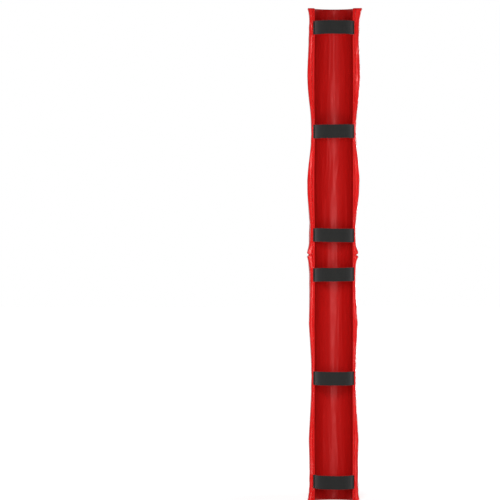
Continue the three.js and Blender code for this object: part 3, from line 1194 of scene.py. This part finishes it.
@dataclass(frozen=True)
class PadCover:
    """The sewn vinyl: two front covers, the back lining, the end panels and the fold strip."""

    shape: PadShape
    wardrobe: Wardrobe
    gathers: Gathers = Gathers()
    folds: LiningFolds = LiningFolds()
    cloth: SewnCloth = SewnCloth()
    cover_rows: RowSpacing = RowSpacing(coarse=0.0050, fine=0.0016)
    lining_rows: RowSpacing = RowSpacing(coarse=0.0085, fine=0.0034)
    cloth_row: float = 0.0055
    rim_radius: float = 0.0038
    rim_steps: int = 4
    rim_turn: float = 1.35
    rim_tuck: float = 0.0002
    rim_fade: float = 0.001
    rim_calm: float = 0.002
    slack_share: float = 0.30
    strap_grip: float = 0.082
    grip_fade: tuple[float, float] = (0.004, -0.003)
    grip_margins: tuple[float, float] = (0.008, 0.001)
    highest_lift: float = 0.0048
    deepest_sink: float = 0.0017
    rear_start_share: float = 0.62
    edge_lead: int = 3
    calm_rear: float = 0.0055
    calm_fold: float = 0.0035
    flat_lanes: int = 4
    flat_ends: tuple[float, float] = (0.006, 0.03)
    panel_dip: float = 0.0024
    panel_gap: float = 0.0008
    panel_steps: int = 16
    panel_crown: float = 0.4
    fold_strip: float = 0.0012
    fold_rims: RimDepths = RimDepths(outer=0.0012, inner=0.0040, rear=0.0040)

    def rows(self, low: float, high: float, spacing: RowSpacing) -> tuple[Array, Array]:
        """Heights and depths of the rows, with the ends of the pad rounded over.

        Args:
            low: Lowest height.
            high: Highest height.
            spacing: How closely the rows lie.

        Returns:
            The height and the depth under the skin of each row.
        """
        z = self.shape.stations(low, high, spacing)
        z = z[self.shape.from_end(z) > self.rim_radius]
        depth = np.zeros_like(z)
        turn = np.linspace(0, self.rim_turn, self.rim_steps)
        rim_in = np.append(self.rim_radius * (1 - np.cos(turn)), self.rim_radius + self.rim_tuck)
        rim_from_end = np.append(self.rim_radius * (1 - np.sin(turn)), self.panel_dip)
        if low == 0:
            z, depth = np.append(rim_from_end[::-1], z), np.append(rim_in[::-1], depth)
        if high == self.shape.total_length:
            z, depth = np.append(z, high - rim_from_end), np.append(depth, rim_in)
        return z, depth

    def rear_weight(self) -> Array:
        """How much each column of the cover belongs to the rear edges.

        Returns:
            One row of shares, 0 over the front.
        """
        rest = np.ones(self.shape.corner_lanes + self.shape.edge_lanes)
        half = np.concatenate([smoothstep(self.rear_start_share, 1, self.shape.arc_shares()), rest])
        return np.concatenate([half[:0:-1], half])[None, :]

    def edge_weight(self) -> Array:
        """How much each column of the cover looks to the rear.

        Returns:
            One row of shares, 0 before the rear corners.
        """
        corner, rear = self.shape.arc_lanes, self.shape.arc_lanes + self.shape.corner_lanes
        half = smoothstep(corner - self.edge_lead, rear, np.arange(rear + self.shape.edge_lanes))
        return np.concatenate([half[:0:-1], half])[None, :]

    def sewn_down(self, across: Array, z: Array) -> Array:
        """Fades the wrinkles out towards the rear seams and the fold seam.

        Args:
            across: Distance from the front centre along the row.
            z: Height of each row.

        Returns:
            0 at the seams and 1 away from them.
        """
        from_rear = np.minimum(across - across[:, :1], across[:, -1:] - across)
        from_fold = np.abs(z - self.shape.section_length) - self.shape.seam_half_gap
        return smoothstep(0, self.calm_rear, from_rear) * smoothstep(0, self.calm_fold, from_fold)[:, None]

    def span(self, section: Section) -> tuple[float, float]:
        """Where one front cover starts and ends.

        Args:
            section: Which cover.

        Returns:
            Its lowest and its highest height.
        """
        shape, middle = self.shape, self.shape.section_length
        if section is Section.LOWER:
            return 0, middle - shape.seam_half_gap
        return middle + shape.seam_half_gap, shape.total_length

    def hem_height(self, section: Section) -> float:
        """Height of the hem row of one front cover."""
        hem = self.gathers.hem_inset
        return hem if section is Section.LOWER else self.shape.total_length - hem

    def under_straps(self, places: Array, z: Array) -> Array:
        """1 where a strap end lies on the cover and 0 away from it.

        Args:
            places: Points of the cover.
            z: Height of each row.

        Returns:
            The share for each point.
        """
        near = smoothstep(*self.grip_fade, np.hypot(places[..., 0], places[..., 1]) - self.strap_grip)
        edges = [self.shape.strap_width / 2 + margin for margin in self.grip_margins]
        return near * smoothstep(*edges, self.shape.from_strap(z))[:, None]

    def settled(self, section: Section, z: Array) -> Array:
        """Cloth movement of one front cover at the given rows.

        Args:
            section: Which cover.
            z: Height of each row.

        Returns:
            Rows by columns of outward movement.
        """
        low, high = self.span(section)
        rows = np.linspace(low, high, int((high - low) / self.cloth_row))
        slack = 1 - self.slack_share
        cut = replace(
            self.shape,
            strap_draw_ins=tuple(slack * draw_in for draw_in in self.shape.strap_draw_ins),
            valley_depth=slack * self.shape.valley_depth,
        )
        sewn, rest = (whole_face(form.cover_half, rows, np.zeros_like(rows)) for form in (self.shape, cut))
        held = self.under_straps(sewn, rows)
        held[[0, -1]] = held[:, [0, -1]] = 1
        held[np.argmin(np.abs(rows - self.hem_height(section)))] = 1
        return read_at(self.cloth.settle(f"cloth_{section.value}", Sheet(sewn), rest, held), rows, z)

    def cover_sheet(self, section: Section) -> Sheet:
        """The outer face of one front cover.

        Args:
            section: Which cover.

        Returns:
            Its sheet, settled and gathered.
        """
        z, depth = self.rows(*self.span(section), self.cover_rows)
        sheet = Sheet(whole_face(self.shape.cover_half, z, depth))
        across = sheet.across()
        lift = self.gathers.lift(self.shape, across, z[:, None], self.rear_weight(), self.edge_weight())
        lift = lift + self.settled(section, z)
        limit = np.where(lift > 0, self.highest_lift, self.deepest_sink)
        rim = smoothstep(0, self.rim_fade, self.rim_radius - depth) * (depth < self.rim_calm)
        free = 1 - self.under_straps(sheet.points, z)
        return sheet.lifted(limit * np.tanh(lift / limit) * self.sewn_down(across, z) * rim[:, None] * free)

    def build_cover(self, section: Section, sheet: Sheet) -> None:
        """Builds one front cover.

        Args:
            section: Which cover.
            sheet: Its outer face.
        """
        node = f"front_cover_{section.value}"
        piece = sheet.shell(f"{node}_vinyl", self.shape.vinyl)
        stand_for_halves(node)
        bent(finished(piece, self.wardrobe.vinyl))

    def build_lining(self) -> None:
        """Builds the back lining, wrinkled up the channel where the bend presses it together."""
        shape = self.shape
        z, depth = self.rows(0, shape.total_length, self.lining_rows)
        sheet = Sheet(whole_face(shape.lining_half, z, depth), faces_channel=True)
        lanes = np.arange(shape.arc_lanes + shape.corner_lanes + shape.edge_lanes - 1)
        half = np.clip((shape.arc_lanes - lanes) / self.flat_lanes, 0, 1)
        on_face = np.concatenate([half[:0:-1], half])[None, :]
        calm = smoothstep(*self.flat_ends, shape.from_end(z))[:, None]
        sheet = sheet.lifted(-self.folds.depth(sheet.across(), z[:, None]) * on_face * calm)
        piece = sheet.shell("back_lining_vinyl", shape.vinyl)
        stand_for_halves("back_lining")
        bent(finished(piece, self.wardrobe.lining))

    def cross_sheet(self, z: float, rims: RimDepths, dip: float) -> Array:
        """A panel that closes the pad's cross-section at one height.

        Args:
            z: Height of the panel's middle.
            rims: How far its rims lie under the faces round it.
            dip: How far its rim lies below its middle, signed along Z.

        Returns:
            Rows from the inner to the outer rim, by lanes, by (x, y, z).
        """
        shape, height = self.shape, np.array([z - dip])
        share = shape.arc_shares()
        angle = share * shape.wrap_angle(height)
        past = np.linspace(0, shape.corner_radius - rims.rear, shape.corner_lanes + 1)[1:]
        near = shape.inner_radius + rims.inner
        steps = np.linspace(0, 1, self.panel_steps)[:, None]
        halves = {}
        for side in Side:
            radius = shape.inner_radius + shape.pad_thickness(share, height[:, None], side)[0]
            outer, _ = shape.edge_radii(height, side)
            rounding = shape.corner_radius - rims.outer
            far = outer - shape.corner_radius + np.sqrt(np.maximum(rounding**2 - past**2, 0))
            turned = shape.at_rear_edge(height, far, past)
            outside = np.concatenate([on_arc(radius - rims.outer, angle), turned])
            inside = np.full_like(past, near)
            inside = np.concatenate([on_arc(near, angle), shape.at_rear_edge(height, inside, past)])
            halves[side] = shape.mirrored(inside[None] + (outside - inside)[None] * steps[..., None], side)
        places = joined(halves)
        lanes = np.arange(places.shape[1])[None, :]
        from_rear = np.minimum(lanes, places.shape[1] - 1 - lanes) / (2 * shape.corner_lanes)
        crown = np.minimum(4 * steps * (1 - steps), np.clip(from_rear, 0, 1)) ** self.panel_crown
        heights = z - dip * (1 - crown)
        return np.concatenate([places, heights[..., None]], axis=2)

    def build_end_panel(self, section: Section) -> None:
        """Builds the panel that closes one end, crowned between its sewn rims.

        Args:
            section: The section whose end it closes.
        """
        top, depth = section is Section.UPPER, self.rim_radius + self.panel_gap
        z, dip = (self.shape.total_length, self.panel_dip) if top else (0.0, -self.panel_dip)
        points = self.cross_sheet(z, RimDepths(depth, depth, depth + self.shape.layer_gap), dip)
        node = f"end_panel_{'top' if top else 'bottom'}"
        piece = Sheet(points[::-1] if top else points).shell(f"{node}_vinyl", self.shape.vinyl)
        stand_for_halves(node)
        bent(finished(piece, self.wardrobe.vinyl))

    def build_fold_strip(self) -> None:
        """Builds the strip in the fold seam between the two foam lengths."""
        points = self.cross_sheet(self.shape.section_length + self.fold_strip / 2, self.fold_rims, 0.0)
        piece = Sheet(points[::-1]).shell("fold_strip_vinyl", self.fold_strip)
        stand_for_halves("fold_strip")
        bent(finished(piece, self.wardrobe.vinyl))

    def build(self, sheets: dict[Section, Sheet]) -> None:
        """Builds and dresses every sewn panel.

        Args:
            sheets: The outer face of each front cover.
        """
        for section, sheet in sheets.items():
            self.build_cover(section, sheet)
            self.build_end_panel(section)
        self.build_lining()
        self.build_fold_strip()


@dataclass(frozen=True)
class FoamCore:
    """The two lengths of foam inside the cover."""

    shape: PadShape
    wardrobe: Wardrobe
    clearance: float = 0.0036
    row: float = 0.012
    softened: float = 0.004
    seam_sink: float = 0.0024

    def sunk(self, places: Array, z: Array, side: Side) -> Array:
        """Draws one half in over the rear edge, clear of the sewn crease.

        Args:
            places: Rows by lanes by (x, y).
            z: Height of each row.
            side: The half of the pad.

        Returns:
            The places, drawn in.
        """
        lanes = np.arange(places.shape[1])
        share = smoothstep(self.shape.arc_lanes, self.shape.arc_lanes + self.shape.corner_lanes, lanes)
        rearward = on_arc(np.ones_like(z), self.shape.wrap_angle(z) + math.pi / 2)[:, None, :]
        return places - self.shape.mirrored(rearward, side) * (self.seam_sink * share)[None, :, None]

    def build_length(self, section: Section) -> None:
        """Builds one foam length, a closed body with softened ends.

        Args:
            section: Which length.
        """
        shape, middle = self.shape, self.shape.section_length
        low, high = (0.0, middle) if section is Section.LOWER else (middle, shape.total_length)
        low, high = low + self.clearance, high - self.clearance
        z = np.linspace(low, high, int((high - low) / self.row))
        z = np.sort(np.append(z, [low + self.softened, high - self.softened]))
        rounding = np.clip(1 - np.minimum(z - low, high - z) / self.softened, 0, 1)
        depth = self.clearance + self.softened * rounding / 2
        halves = []
        for side in Side:
            faces = (shape.cover_half, shape.lining_half)
            outer, inner = (self.sunk(half(z, depth, side), z, side) for half in faces)
            halves.append(np.concatenate([outer[:, 1::2], inner[:, ::-2]], axis=1))
        points = with_height(np.concatenate([halves[0], halves[1][:, ::-1]], axis=1), z)
        flat = np.stack([points[..., 0] + points[..., 1], points[..., 2]], axis=-1)
        piece = tube(f"foam_core_{section.value}_block", points, flat)
        stand_for_halves(f"foam_core_{section.value}")
        bent(finished(piece, self.wardrobe.foam))

    def build(self) -> None:
        """Builds both lengths."""
        for section in Section:
            self.build_length(section)


@dataclass(frozen=True)
class Thread:
    """Rows of small stitches, each a bent capsule whose ends sink into the material."""

    radius: float = 0.00042
    length: float = 0.0036
    pitch: float = 0.0048
    arch_share: float = 1.6
    sink_share: float = 0.9
    end_share: float = 0.35
    sides: int = 6
    rings: int = 5

    def row(self, path: Array, normals: Array) -> Array:
        """Stitches along one line.

        Args:
            path: Points of the line.
            normals: The way out of the material at each point.

        Returns:
            Vertices of the stitches, by ring and by side.
        """
        steps = distances(path)
        starts = np.arange(self.pitch / 2, steps[-1] - self.length, self.pitch)
        share = np.linspace(0, 1, self.rings)
        at = starts[:, None] + share[None, :] * self.length
        line, out = read_at(path, steps, at), unit(read_at(normals, steps, at))
        beside = np.cross(np.broadcast_to(unit(line[:, -1:] - line[:, :1]), out.shape), out)
        arch = np.sin(share * math.pi)
        line = line + out * (self.radius * (self.arch_share * arch - self.sink_share))[None, :, None]
        thick = self.radius * (self.end_share + (1 - self.end_share) * arch**0.5)
        turn = np.arange(self.sides) / self.sides * 2 * math.pi
        spokes = out[:, :, None] * np.cos(turn)[:, None] + beside[:, :, None] * np.sin(turn)[:, None]
        return line[:, :, None] + spokes * thick[None, :, None, None]

    def piece(self, name: str, rows: list[StitchRow]) -> bpy.types.Object:
        """One object of several rows of stitches.

        Args:
            name: Name of the piece.
            rows: Points and normals of each row.

        Returns:
            The new object.
        """
        points = np.concatenate([self.row(*row) for row in rows]).reshape(-1, 3)
        faces = []
        for first in range(0, len(points), self.rings * self.sides):
            faces += tube_faces(self.rings, self.sides, first)
        return make_object(name, points, faces, points[:, [0, 2]])


@dataclass(frozen=True)
class PadStitching:
    """Seam stitches of the pad: rear seams, hems and the fold seam."""

    shape: PadShape
    wardrobe: Wardrobe
    cover: PadCover
    thread: Thread = Thread()
    fold_row_inset: float = 0.0042
    strap_margin: float = 0.002
    bare_lanes: int = 6
    bare_low_rows: int = 6
    bare_high_rows: int = 3

    def build(self, sheets: dict[Section, Sheet]) -> None:
        """Stitches both covers and both rear seams.

        Args:
            sheets: The outer face of each front cover.
        """
        for section, sheet in sheets.items():
            self.stitch_across(section, sheet)
        for side in Side:
            self.stitch_rear(side, list(sheets.values()))

    def stitch_across(self, section: Section, sheet: Sheet) -> None:
        """Sews the hem row near the end and the row beside the fold seam.

        Args:
            section: Which cover.
            sheet: Its outer face.
        """
        normals, heights = sheet.normals(), sheet.points[:, 0, 2]
        beside = -self.fold_row_inset if section is Section.LOWER else self.fold_row_inset
        lanes = slice(self.bare_lanes, -self.bare_lanes)
        rows = []
        for z in (self.cover.hem_height(section), self.shape.section_length + beside):
            row = int(np.argmin(np.abs(heights - z)))
            rows.append((sheet.points[row, lanes], normals[row, lanes]))
        piece = self.thread.piece(f"cover_{section.value}_stitches", rows)
        bent(finished(piece, self.wardrobe.red_thread))

    def stitch_rear(self, side: Side, sheets: list[Sheet]) -> None:
        """Sews the rear seam of one side, between the straps.

        Args:
            side: The half of the pad.
            sheets: The outer faces of the covers, from the bottom up.
        """
        column = -2 if side is Side.RIGHT else 1
        span = slice(self.bare_low_rows, -self.bare_high_rows)
        rows = []
        for sheet in sheets:
            path, normals = sheet.points[span, column], sheet.normals()[span, column]
            free = self.shape.from_strap(path[:, 2]) > self.shape.strap_width / 2 + self.strap_margin
            for part in np.split(np.arange(len(path)), np.flatnonzero(np.diff(free)) + 1):
                if free[part[0]]:
                    rows.append((path[part], normals[part]))
        piece = self.thread.piece(f"rear_seam_{side.name.lower()}_stitches", rows)
        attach(piece, RIGHT_BODY if side is Side.RIGHT else LEFT_BODY)
        finished(piece, self.wardrobe.red_thread)


@dataclass(frozen=True)
class StrapSet:
    """The six webbing straps with their hook and loop patches."""

    shape: PadShape
    wardrobe: Wardrobe
    thickness: float = 0.0016
    channel_gap: float = 0.0005
    turn_radius: float = 0.003
    flap_reach: float = 0.007
    flap_points: int = 4
    turn_steps: int = 6
    arc_steps: int = 44
    rise_share: float = 0.07
    longest_rise_share: float = 0.5
    width_steps: int = 40
    edge_crowding: float = 0.55
    selvedge: float = 0.0016
    bead_share: float = 0.22
    bead_start_share: float = 0.05
    first_seed: int = 50
    wave: float = 0.0005
    wave_length: float = 0.03
    tilt: float = 0.0012
    patch_thickness: float = 0.0012
    patch_margin: float = 0.002
    hook_length: float = 0.050
    hook_points: int = 26
    loop_points: int = 8
    tuft_points: int = 60
    tuft_share: float = 0.3
    tufts: Ripple = Ripple(seed=90, width=0.0011, length=0.0011)
    thread: Thread = Thread(radius=0.00034, length=0.0026, pitch=0.0036)
    stitch_inset: float = 0.003
    stitch_points: int = 30
    stitch_steps: tuple[float, ...] = (0.0015, 0.0045)
    hem_steps: tuple[float, ...] = (0.0015, 0.012, 0.046)

    def end_path(self, z: float, stand_off: float, wrap_radius: float) -> Array:
        """Middle line of one strap end, from its tip on the rear edge round a small turn to the wrap.

        Args:
            z: Height of the strap.
            stand_off: Distance of the line from the rear edge.
            wrap_radius: Its distance from the channel's axis where it wraps round it.

        Returns:
            The line's (x, y) points.
        """
        shape, height = self.shape, np.array(z)
        past = shape.corner_radius + stand_off
        turn_past = past + self.turn_radius
        turn_out = math.sqrt((wrap_radius + self.turn_radius) ** 2 - turn_past**2)
        centre = shape.at_rear_edge(height, turn_out, turn_past)
        spoke = shape.at_rear_edge(height, turn_out, past) - centre
        landing = unit(centre) * wrap_radius - centre
        first = math.atan2(spoke[1], spoke[0])
        turn = math.atan2(landing[1], landing[0]) % (2 * math.pi) - first % (2 * math.pi)
        angles = first + np.linspace(0, turn, self.turn_steps + 1)
        arc = centre + self.turn_radius * np.stack([np.cos(angles), np.sin(angles)], axis=-1)
        tip = shape.at_rear_edge(height, shape.inner_radius + self.flap_reach, past)
        flat = tip + (arc[0] - tip) * np.linspace(0, 1, self.flap_points)[:-1, None]
        return np.concatenate([flat, arc])

    def path(self, z: float) -> Array:
        """Middle line of a strap from its root on the right edge round to its free end on the left one.

        Args:
            z: Height of the strap.

        Returns:
            The line's (x, y) points.
        """
        root_wrap = self.shape.inner_radius + self.channel_gap + self.thickness / 2
        free_wrap = root_wrap + self.patch_thickness + self.shape.layer_gap
        root = self.end_path(z, self.shape.layer_gap + self.thickness / 2, root_wrap)
        stand_off = 3 * self.shape.layer_gap + 2 * self.patch_thickness + self.thickness / 2
        free = self.shape.mirrored(self.end_path(z, stand_off, free_wrap), Side.LEFT)
        start = math.atan2(root[-1, 0], -root[-1, 1])
        stop = math.atan2(free[-1, 0], -free[-1, 1]) % (2 * math.pi)
        share = np.linspace(0, 1, self.arc_steps + 1)[1:-1]
        hook_share = self.hook_length / ((stop - start) * free_wrap)
        rise_end = 1 - min(hook_share + self.rise_share, self.longest_rise_share)
        radius = root_wrap + (free_wrap - root_wrap) * smoothstep(0, rise_end, share)
        return np.concatenate([root, on_arc(radius, start + share * (stop - start)), free[::-1]])

    def build_strap(self, strap: StrapPlace) -> None:
        """Builds one strap, its patches and their stitches.

        Args:
            strap: The strap.
        """
        wardrobe, number, line = self.wardrobe, strap.number, self.path(strap.height)
        body = f"strap_{number}_flap"
        webbing = self.webbing(f"strap_{number}_webbing", line, strap)
        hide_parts(f"strap_{number}")
        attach(finished(webbing, wardrobe.webbing), body)
        stitches = self.thread.piece(f"strap_{number}_stitches", self.stitch_rows(line, strap))
        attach(finished(stitches, wardrobe.black_thread), body)
        hook = self.patch(f"hook_patch_{number}_hooks", self.hook_line(line), strap.height)
        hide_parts(f"hook_patch_{number}")
        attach(finished(hook, wardrobe.patch), body)
        loop = self.patch(f"loop_patch_{number}_loops", self.loop_line(strap.height), strap.height)
        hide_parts(f"loop_patch_{number}")
        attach(finished(loop, wardrobe.patch), LEFT_BODY)

    def stitch_rows(self, line: Array, strap: StrapPlace) -> list[StitchRow]:
        """Rows of thread that sew down the root and hem the free end.

        Args:
            line: The strap's middle line.
            strap: The strap.

        Returns:
            Each row's points and the way out of the webbing there.
        """
        outward, steps = -self.inward(line), distances(line)
        half = self.shape.strap_width / 2 - self.stitch_inset
        z = np.linspace(strap.height - half, strap.height + half, self.stitch_points)
        rows = []
        for at in (*self.stitch_steps, *(steps[-1] - step for step in self.hem_steps)):
            out = unit(read_at(outward, steps, at))
            face = read_at(line, steps, at) + out * self.thickness / 2
            places = np.column_stack([np.tile(face, (len(z), 1)), z])
            rows.append((places, np.tile([*out, 0], (len(z), 1))))
        return rows

    def webbing(self, name: str, line: Array, strap: StrapPlace) -> bpy.types.Object:
        """The woven band: rounded selvedges, a slight crown and heat-cut ends.

        Args:
            name: Name of the piece.
            line: The strap's middle line.
            strap: The strap.

        Returns:
            The new object.
        """
        half_width = self.shape.strap_width / 2
        turn = np.linspace(0, 2 * math.pi, 2 * self.width_steps, endpoint=False)
        across = half_width * np.sign(np.cos(turn)) * np.abs(np.cos(turn)) ** self.edge_crowding
        edge = np.clip((half_width - np.abs(across)) / self.selvedge, 0, 1)
        bead = 1 + self.bead_share * (1 - edge) * (edge > self.bead_start_share)
        depth = self.thickness / 2 * np.sqrt(1 - (1 - edge) ** 2) * bead * np.where(np.sin(turn) >= 0, 1, -1)
        ripple, steps = Ripple(self.first_seed + strap.number, self.wave_length), distances(line)
        wave = self.wave * ripple.at(steps, np.zeros_like(steps))
        tilt = self.tilt * ripple.values()[0, strap.number] * (steps / steps[-1] - 0.5) * 2
        places = line[:, None, :] + path_normals(line)[:, None, :] * depth[None, :, None]
        heights = strap.height + across[None, :] + (wave + tilt)[:, None]
        points = np.concatenate([places, heights[..., None]], axis=2)
        return tube(name, points, np.stack(np.broadcast_arrays(steps[:, None], across[None, :]), axis=-1))

    @staticmethod
    def inward(line: Array) -> Array:
        """Directions square to a strap's line that lead towards the channel's axis.

        Args:
            line: Points of the line.

        Returns:
            The unit vector at each point.
        """
        normals, middle = path_normals(line), len(line) // 2
        return -normals * float(np.sign(np.dot(normals[middle], line[middle])))

    def hook_line(self, line: Array) -> Array:
        """Middle line of the hook patch, along the inner side of the strap's free end.

        Args:
            line: The strap's middle line.

        Returns:
            The patch's (x, y) points.
        """
        back = line[::-1]
        tail = read_at(back, distances(back), np.linspace(0, self.hook_length, self.hook_points)[::-1])
        apart = self.thickness / 2 + self.shape.layer_gap + self.patch_thickness / 2
        return tail + self.inward(tail) * apart

    def loop_line(self, z: float) -> Array:
        """Middle line of the loop patch on the left rear edge.

        Args:
            z: Height of the strap.

        Returns:
            The patch's (x, y) points.
        """
        shape = self.shape
        past = shape.corner_radius + shape.layer_gap + self.patch_thickness / 2
        reaches = (self.turn_radius, self.flap_reach)
        ends = [shape.at_rear_edge(np.array(z), shape.inner_radius + reach, past) for reach in reaches]
        line = ends[0] + (ends[1] - ends[0]) * np.linspace(0, 1, self.loop_points)[:, None]
        return shape.mirrored(line, Side.LEFT)

    def patch(self, name: str, line: Array, z: float) -> bpy.types.Object:
        """A patch of hook or loop: a backing with a tufted face, in one closed body.

        Args:
            name: Name of the piece.
            line: Its middle line.
            z: Height of its middle.

        Returns:
            The new object.
        """
        half = self.shape.strap_width / 2 - self.patch_margin
        across = np.linspace(-half, half, self.tuft_points)
        section = np.concatenate([across, across[::-1]])
        face = np.concatenate([np.ones_like(across), -np.ones_like(across)])
        steps = distances(line)
        tufts = 1 - self.tuft_share + self.tuft_share * self.tufts.at(steps[:, None], section[None, :])
        depth = self.patch_thickness / 2 * face[None, :] * tufts
        places = line[:, None, :] + path_normals(line)[:, None, :] * depth[..., None]
        tall = np.broadcast_to((z + section)[None, :, None], (*places.shape[:2], 1))
        points = np.concatenate([places, tall], axis=2)
        return tube(name, points, np.stack(np.broadcast_arrays(steps[:, None], section[None, :]), axis=-1))

    def build(self) -> None:
        """Builds every strap."""
        for strap in self.shape.straps():
            self.build_strap(strap)


@dataclass(frozen=True)
class SoftBox:
    """One tall soft lamp of the studio."""

    name: str
    place: tuple[float, float, float]
    width: float
    height: float
    power: float


@dataclass(frozen=True)
class Studio:
    """Pale floor, white surroundings, soft lamps and the camera behind the pad."""

    target_height: float = 0.9144
    floor_half_size: float = 30.0
    floor_drop: float = 0.0005
    floor_colour: tuple[float, float, float] = (0.82, 0.82, 0.82)
    floor_glow_reach: tuple[float, float] = (0.35, 1.6)
    floor_glow: tuple[float, float] = (0.56, 0.90)
    ambient: float = 0.18
    camera_distance: float = 13.0
    camera_elevation: float = 0.5
    metres_per_pixel: float = 0.003712
    pad_pixel: tuple[float, float] = (333.7, 254.8)
    image_pixels: float = 500.0
    sensor: float = 36.0
    lamps: tuple[SoftBox, ...] = (
        SoftBox("front_key", (-1.45, -2.35, 1.05), width=0.3, height=1.6, power=44.0),
        SoftBox("front_fill", (2.55, -0.9, 1.05), width=0.15, height=1.6, power=4.5),
        SoftBox("back_key", (0.15, 3.0, 1.4), width=0.4, height=0.7, power=42.0),
        SoftBox("back_fill", (-0.15, 3.0, 0.45), width=0.3, height=0.8, power=32.0),
    )

    def rays_that_see(self, sheet: NodeSheet) -> bpy.types.NodeSocket:
        """Tells the rays that look at the surroundings from those that light the pad.

        Args:
            sheet: Node sheet of the material or world.

        Returns:
            1 for the rays that show the surroundings as white, 0 for the others.
        """
        path = sheet.add("ShaderNodeLightPath").outputs
        seen = sheet.maths("ADD", path["Is Camera Ray"], path["Is Glossy Ray"])
        seen = sheet.maths("ADD", seen, path["Is Transmission Ray"])
        return sheet.maths("MINIMUM", seen, 1.0)

    def build_world(self) -> None:
        """Makes surroundings that are white to look at and dimmer as a light."""
        world = bpy.data.worlds.new("Studio")
        bpy.context.scene.world = world
        sheet = emptied(world)
        strength = sheet.maths("MULTIPLY_ADD", self.rays_that_see(sheet), 1.0 - self.ambient, self.ambient)
        background = sheet.add("ShaderNodeBackground", {"Color": (1, 1, 1, 1), "Strength": strength})
        sheet.add("ShaderNodeOutputWorld", {"Surface": background.outputs[0]})

    def build_floor(self) -> None:
        """Lays a wide pale floor that keeps the pad's shadow."""
        half = self.floor_half_size
        corners = np.array([[-half, -half, 0], [half, -half, 0], [half, half, 0], [-half, half, 0]], float)
        floor = make_object("studio_floor", corners, [[0, 1, 2, 3]])
        floor.location.z = -self.floor_drop
        material = bpy.data.materials.new("Studio floor")
        sheet = emptied(material)
        diffuse = sheet.add("ShaderNodeBsdfDiffuse", {"Color": (*self.floor_colour, 1)})
        place = sheet.add("ShaderNodeNewGeometry").outputs["Position"]
        away = sheet.add("ShaderNodeVectorMath", {0: place}, operation="LENGTH").outputs["Value"]
        spread = sheet.ranged(away, *self.floor_glow_reach, *self.floor_glow)
        strength = sheet.maths("MULTIPLY", self.rays_that_see(sheet), spread)
        glow = sheet.add("ShaderNodeEmission", {"Strength": strength})
        both = sheet.add("ShaderNodeAddShader", {0: diffuse.outputs[0], 1: glow.outputs[0]})
        sheet.add("ShaderNodeOutputMaterial", {"Surface": both.outputs[0]})
        floor.data.materials.append(material)

    def build_lamp(self, box: SoftBox) -> None:
        """Hangs one soft lamp, turned to the pad.

        Args:
            box: The lamp's sizes and place.
        """
        light = bpy.data.lights.new(box.name, "AREA")
        light.shape = "RECTANGLE"
        light.size, light.size_y = box.width, box.height
        light.energy = box.power
        lamp = bpy.data.objects.new(box.name, light)
        lamp.location = box.place
        way = Vector((0, 0, self.target_height)) - Vector(box.place)
        lamp.rotation_mode = "QUATERNION"
        lamp.rotation_quaternion = way.to_track_quat("-Z", "Y")
        lamp.visible_camera = False
        bpy.context.scene.collection.objects.link(lamp)

    def build_camera(self) -> None:
        """Sets the camera behind the pad, aimed so that the pad stands right of the middle."""
        data = bpy.data.cameras.new("camera")
        data.sensor_width = self.sensor
        data.lens = self.sensor * self.camera_distance / (self.image_pixels * self.metres_per_pixel)
        camera = bpy.data.objects.new("camera", data)
        elevation = math.radians(self.camera_elevation)
        across, down = ((pixel - self.image_pixels / 2) * self.metres_per_pixel for pixel in self.pad_pixel)
        target = Vector((across, 0, self.target_height + down))
        back, up = self.camera_distance * math.cos(elevation), self.camera_distance * math.sin(elevation)
        camera.location = (0, back, self.target_height + up)
        camera.rotation_mode = "QUATERNION"
        camera.rotation_quaternion = (target - camera.location).to_track_quat("-Z", "Y")
        bpy.context.scene.collection.objects.link(camera)
        bpy.context.scene.camera = camera

    def build(self) -> None:
        """Sets up the whole studio."""
        bpy.context.scene.view_settings.view_transform = "Standard"
        self.build_world()
        self.build_floor()
        for box in self.lamps:
            self.build_lamp(box)
        self.build_camera()


def main() -> None:
    """Builds the studio and the pad, piece by piece."""
    logging.basicConfig(level=logging.INFO, format="%(message)s")
    Studio().build()
    shape, wardrobe = PadShape(), Wardrobe()
    cover = PadCover(shape, wardrobe)
    sheets = {section: cover.cover_sheet(section) for section in Section}
    cover.build(sheets)
    FoamCore(shape, wardrobe).build()
    PadStitching(shape, wardrobe, cover).build(sheets)
    StrapSet(shape, wardrobe).build()


if __name__ == "__main__":
    main()
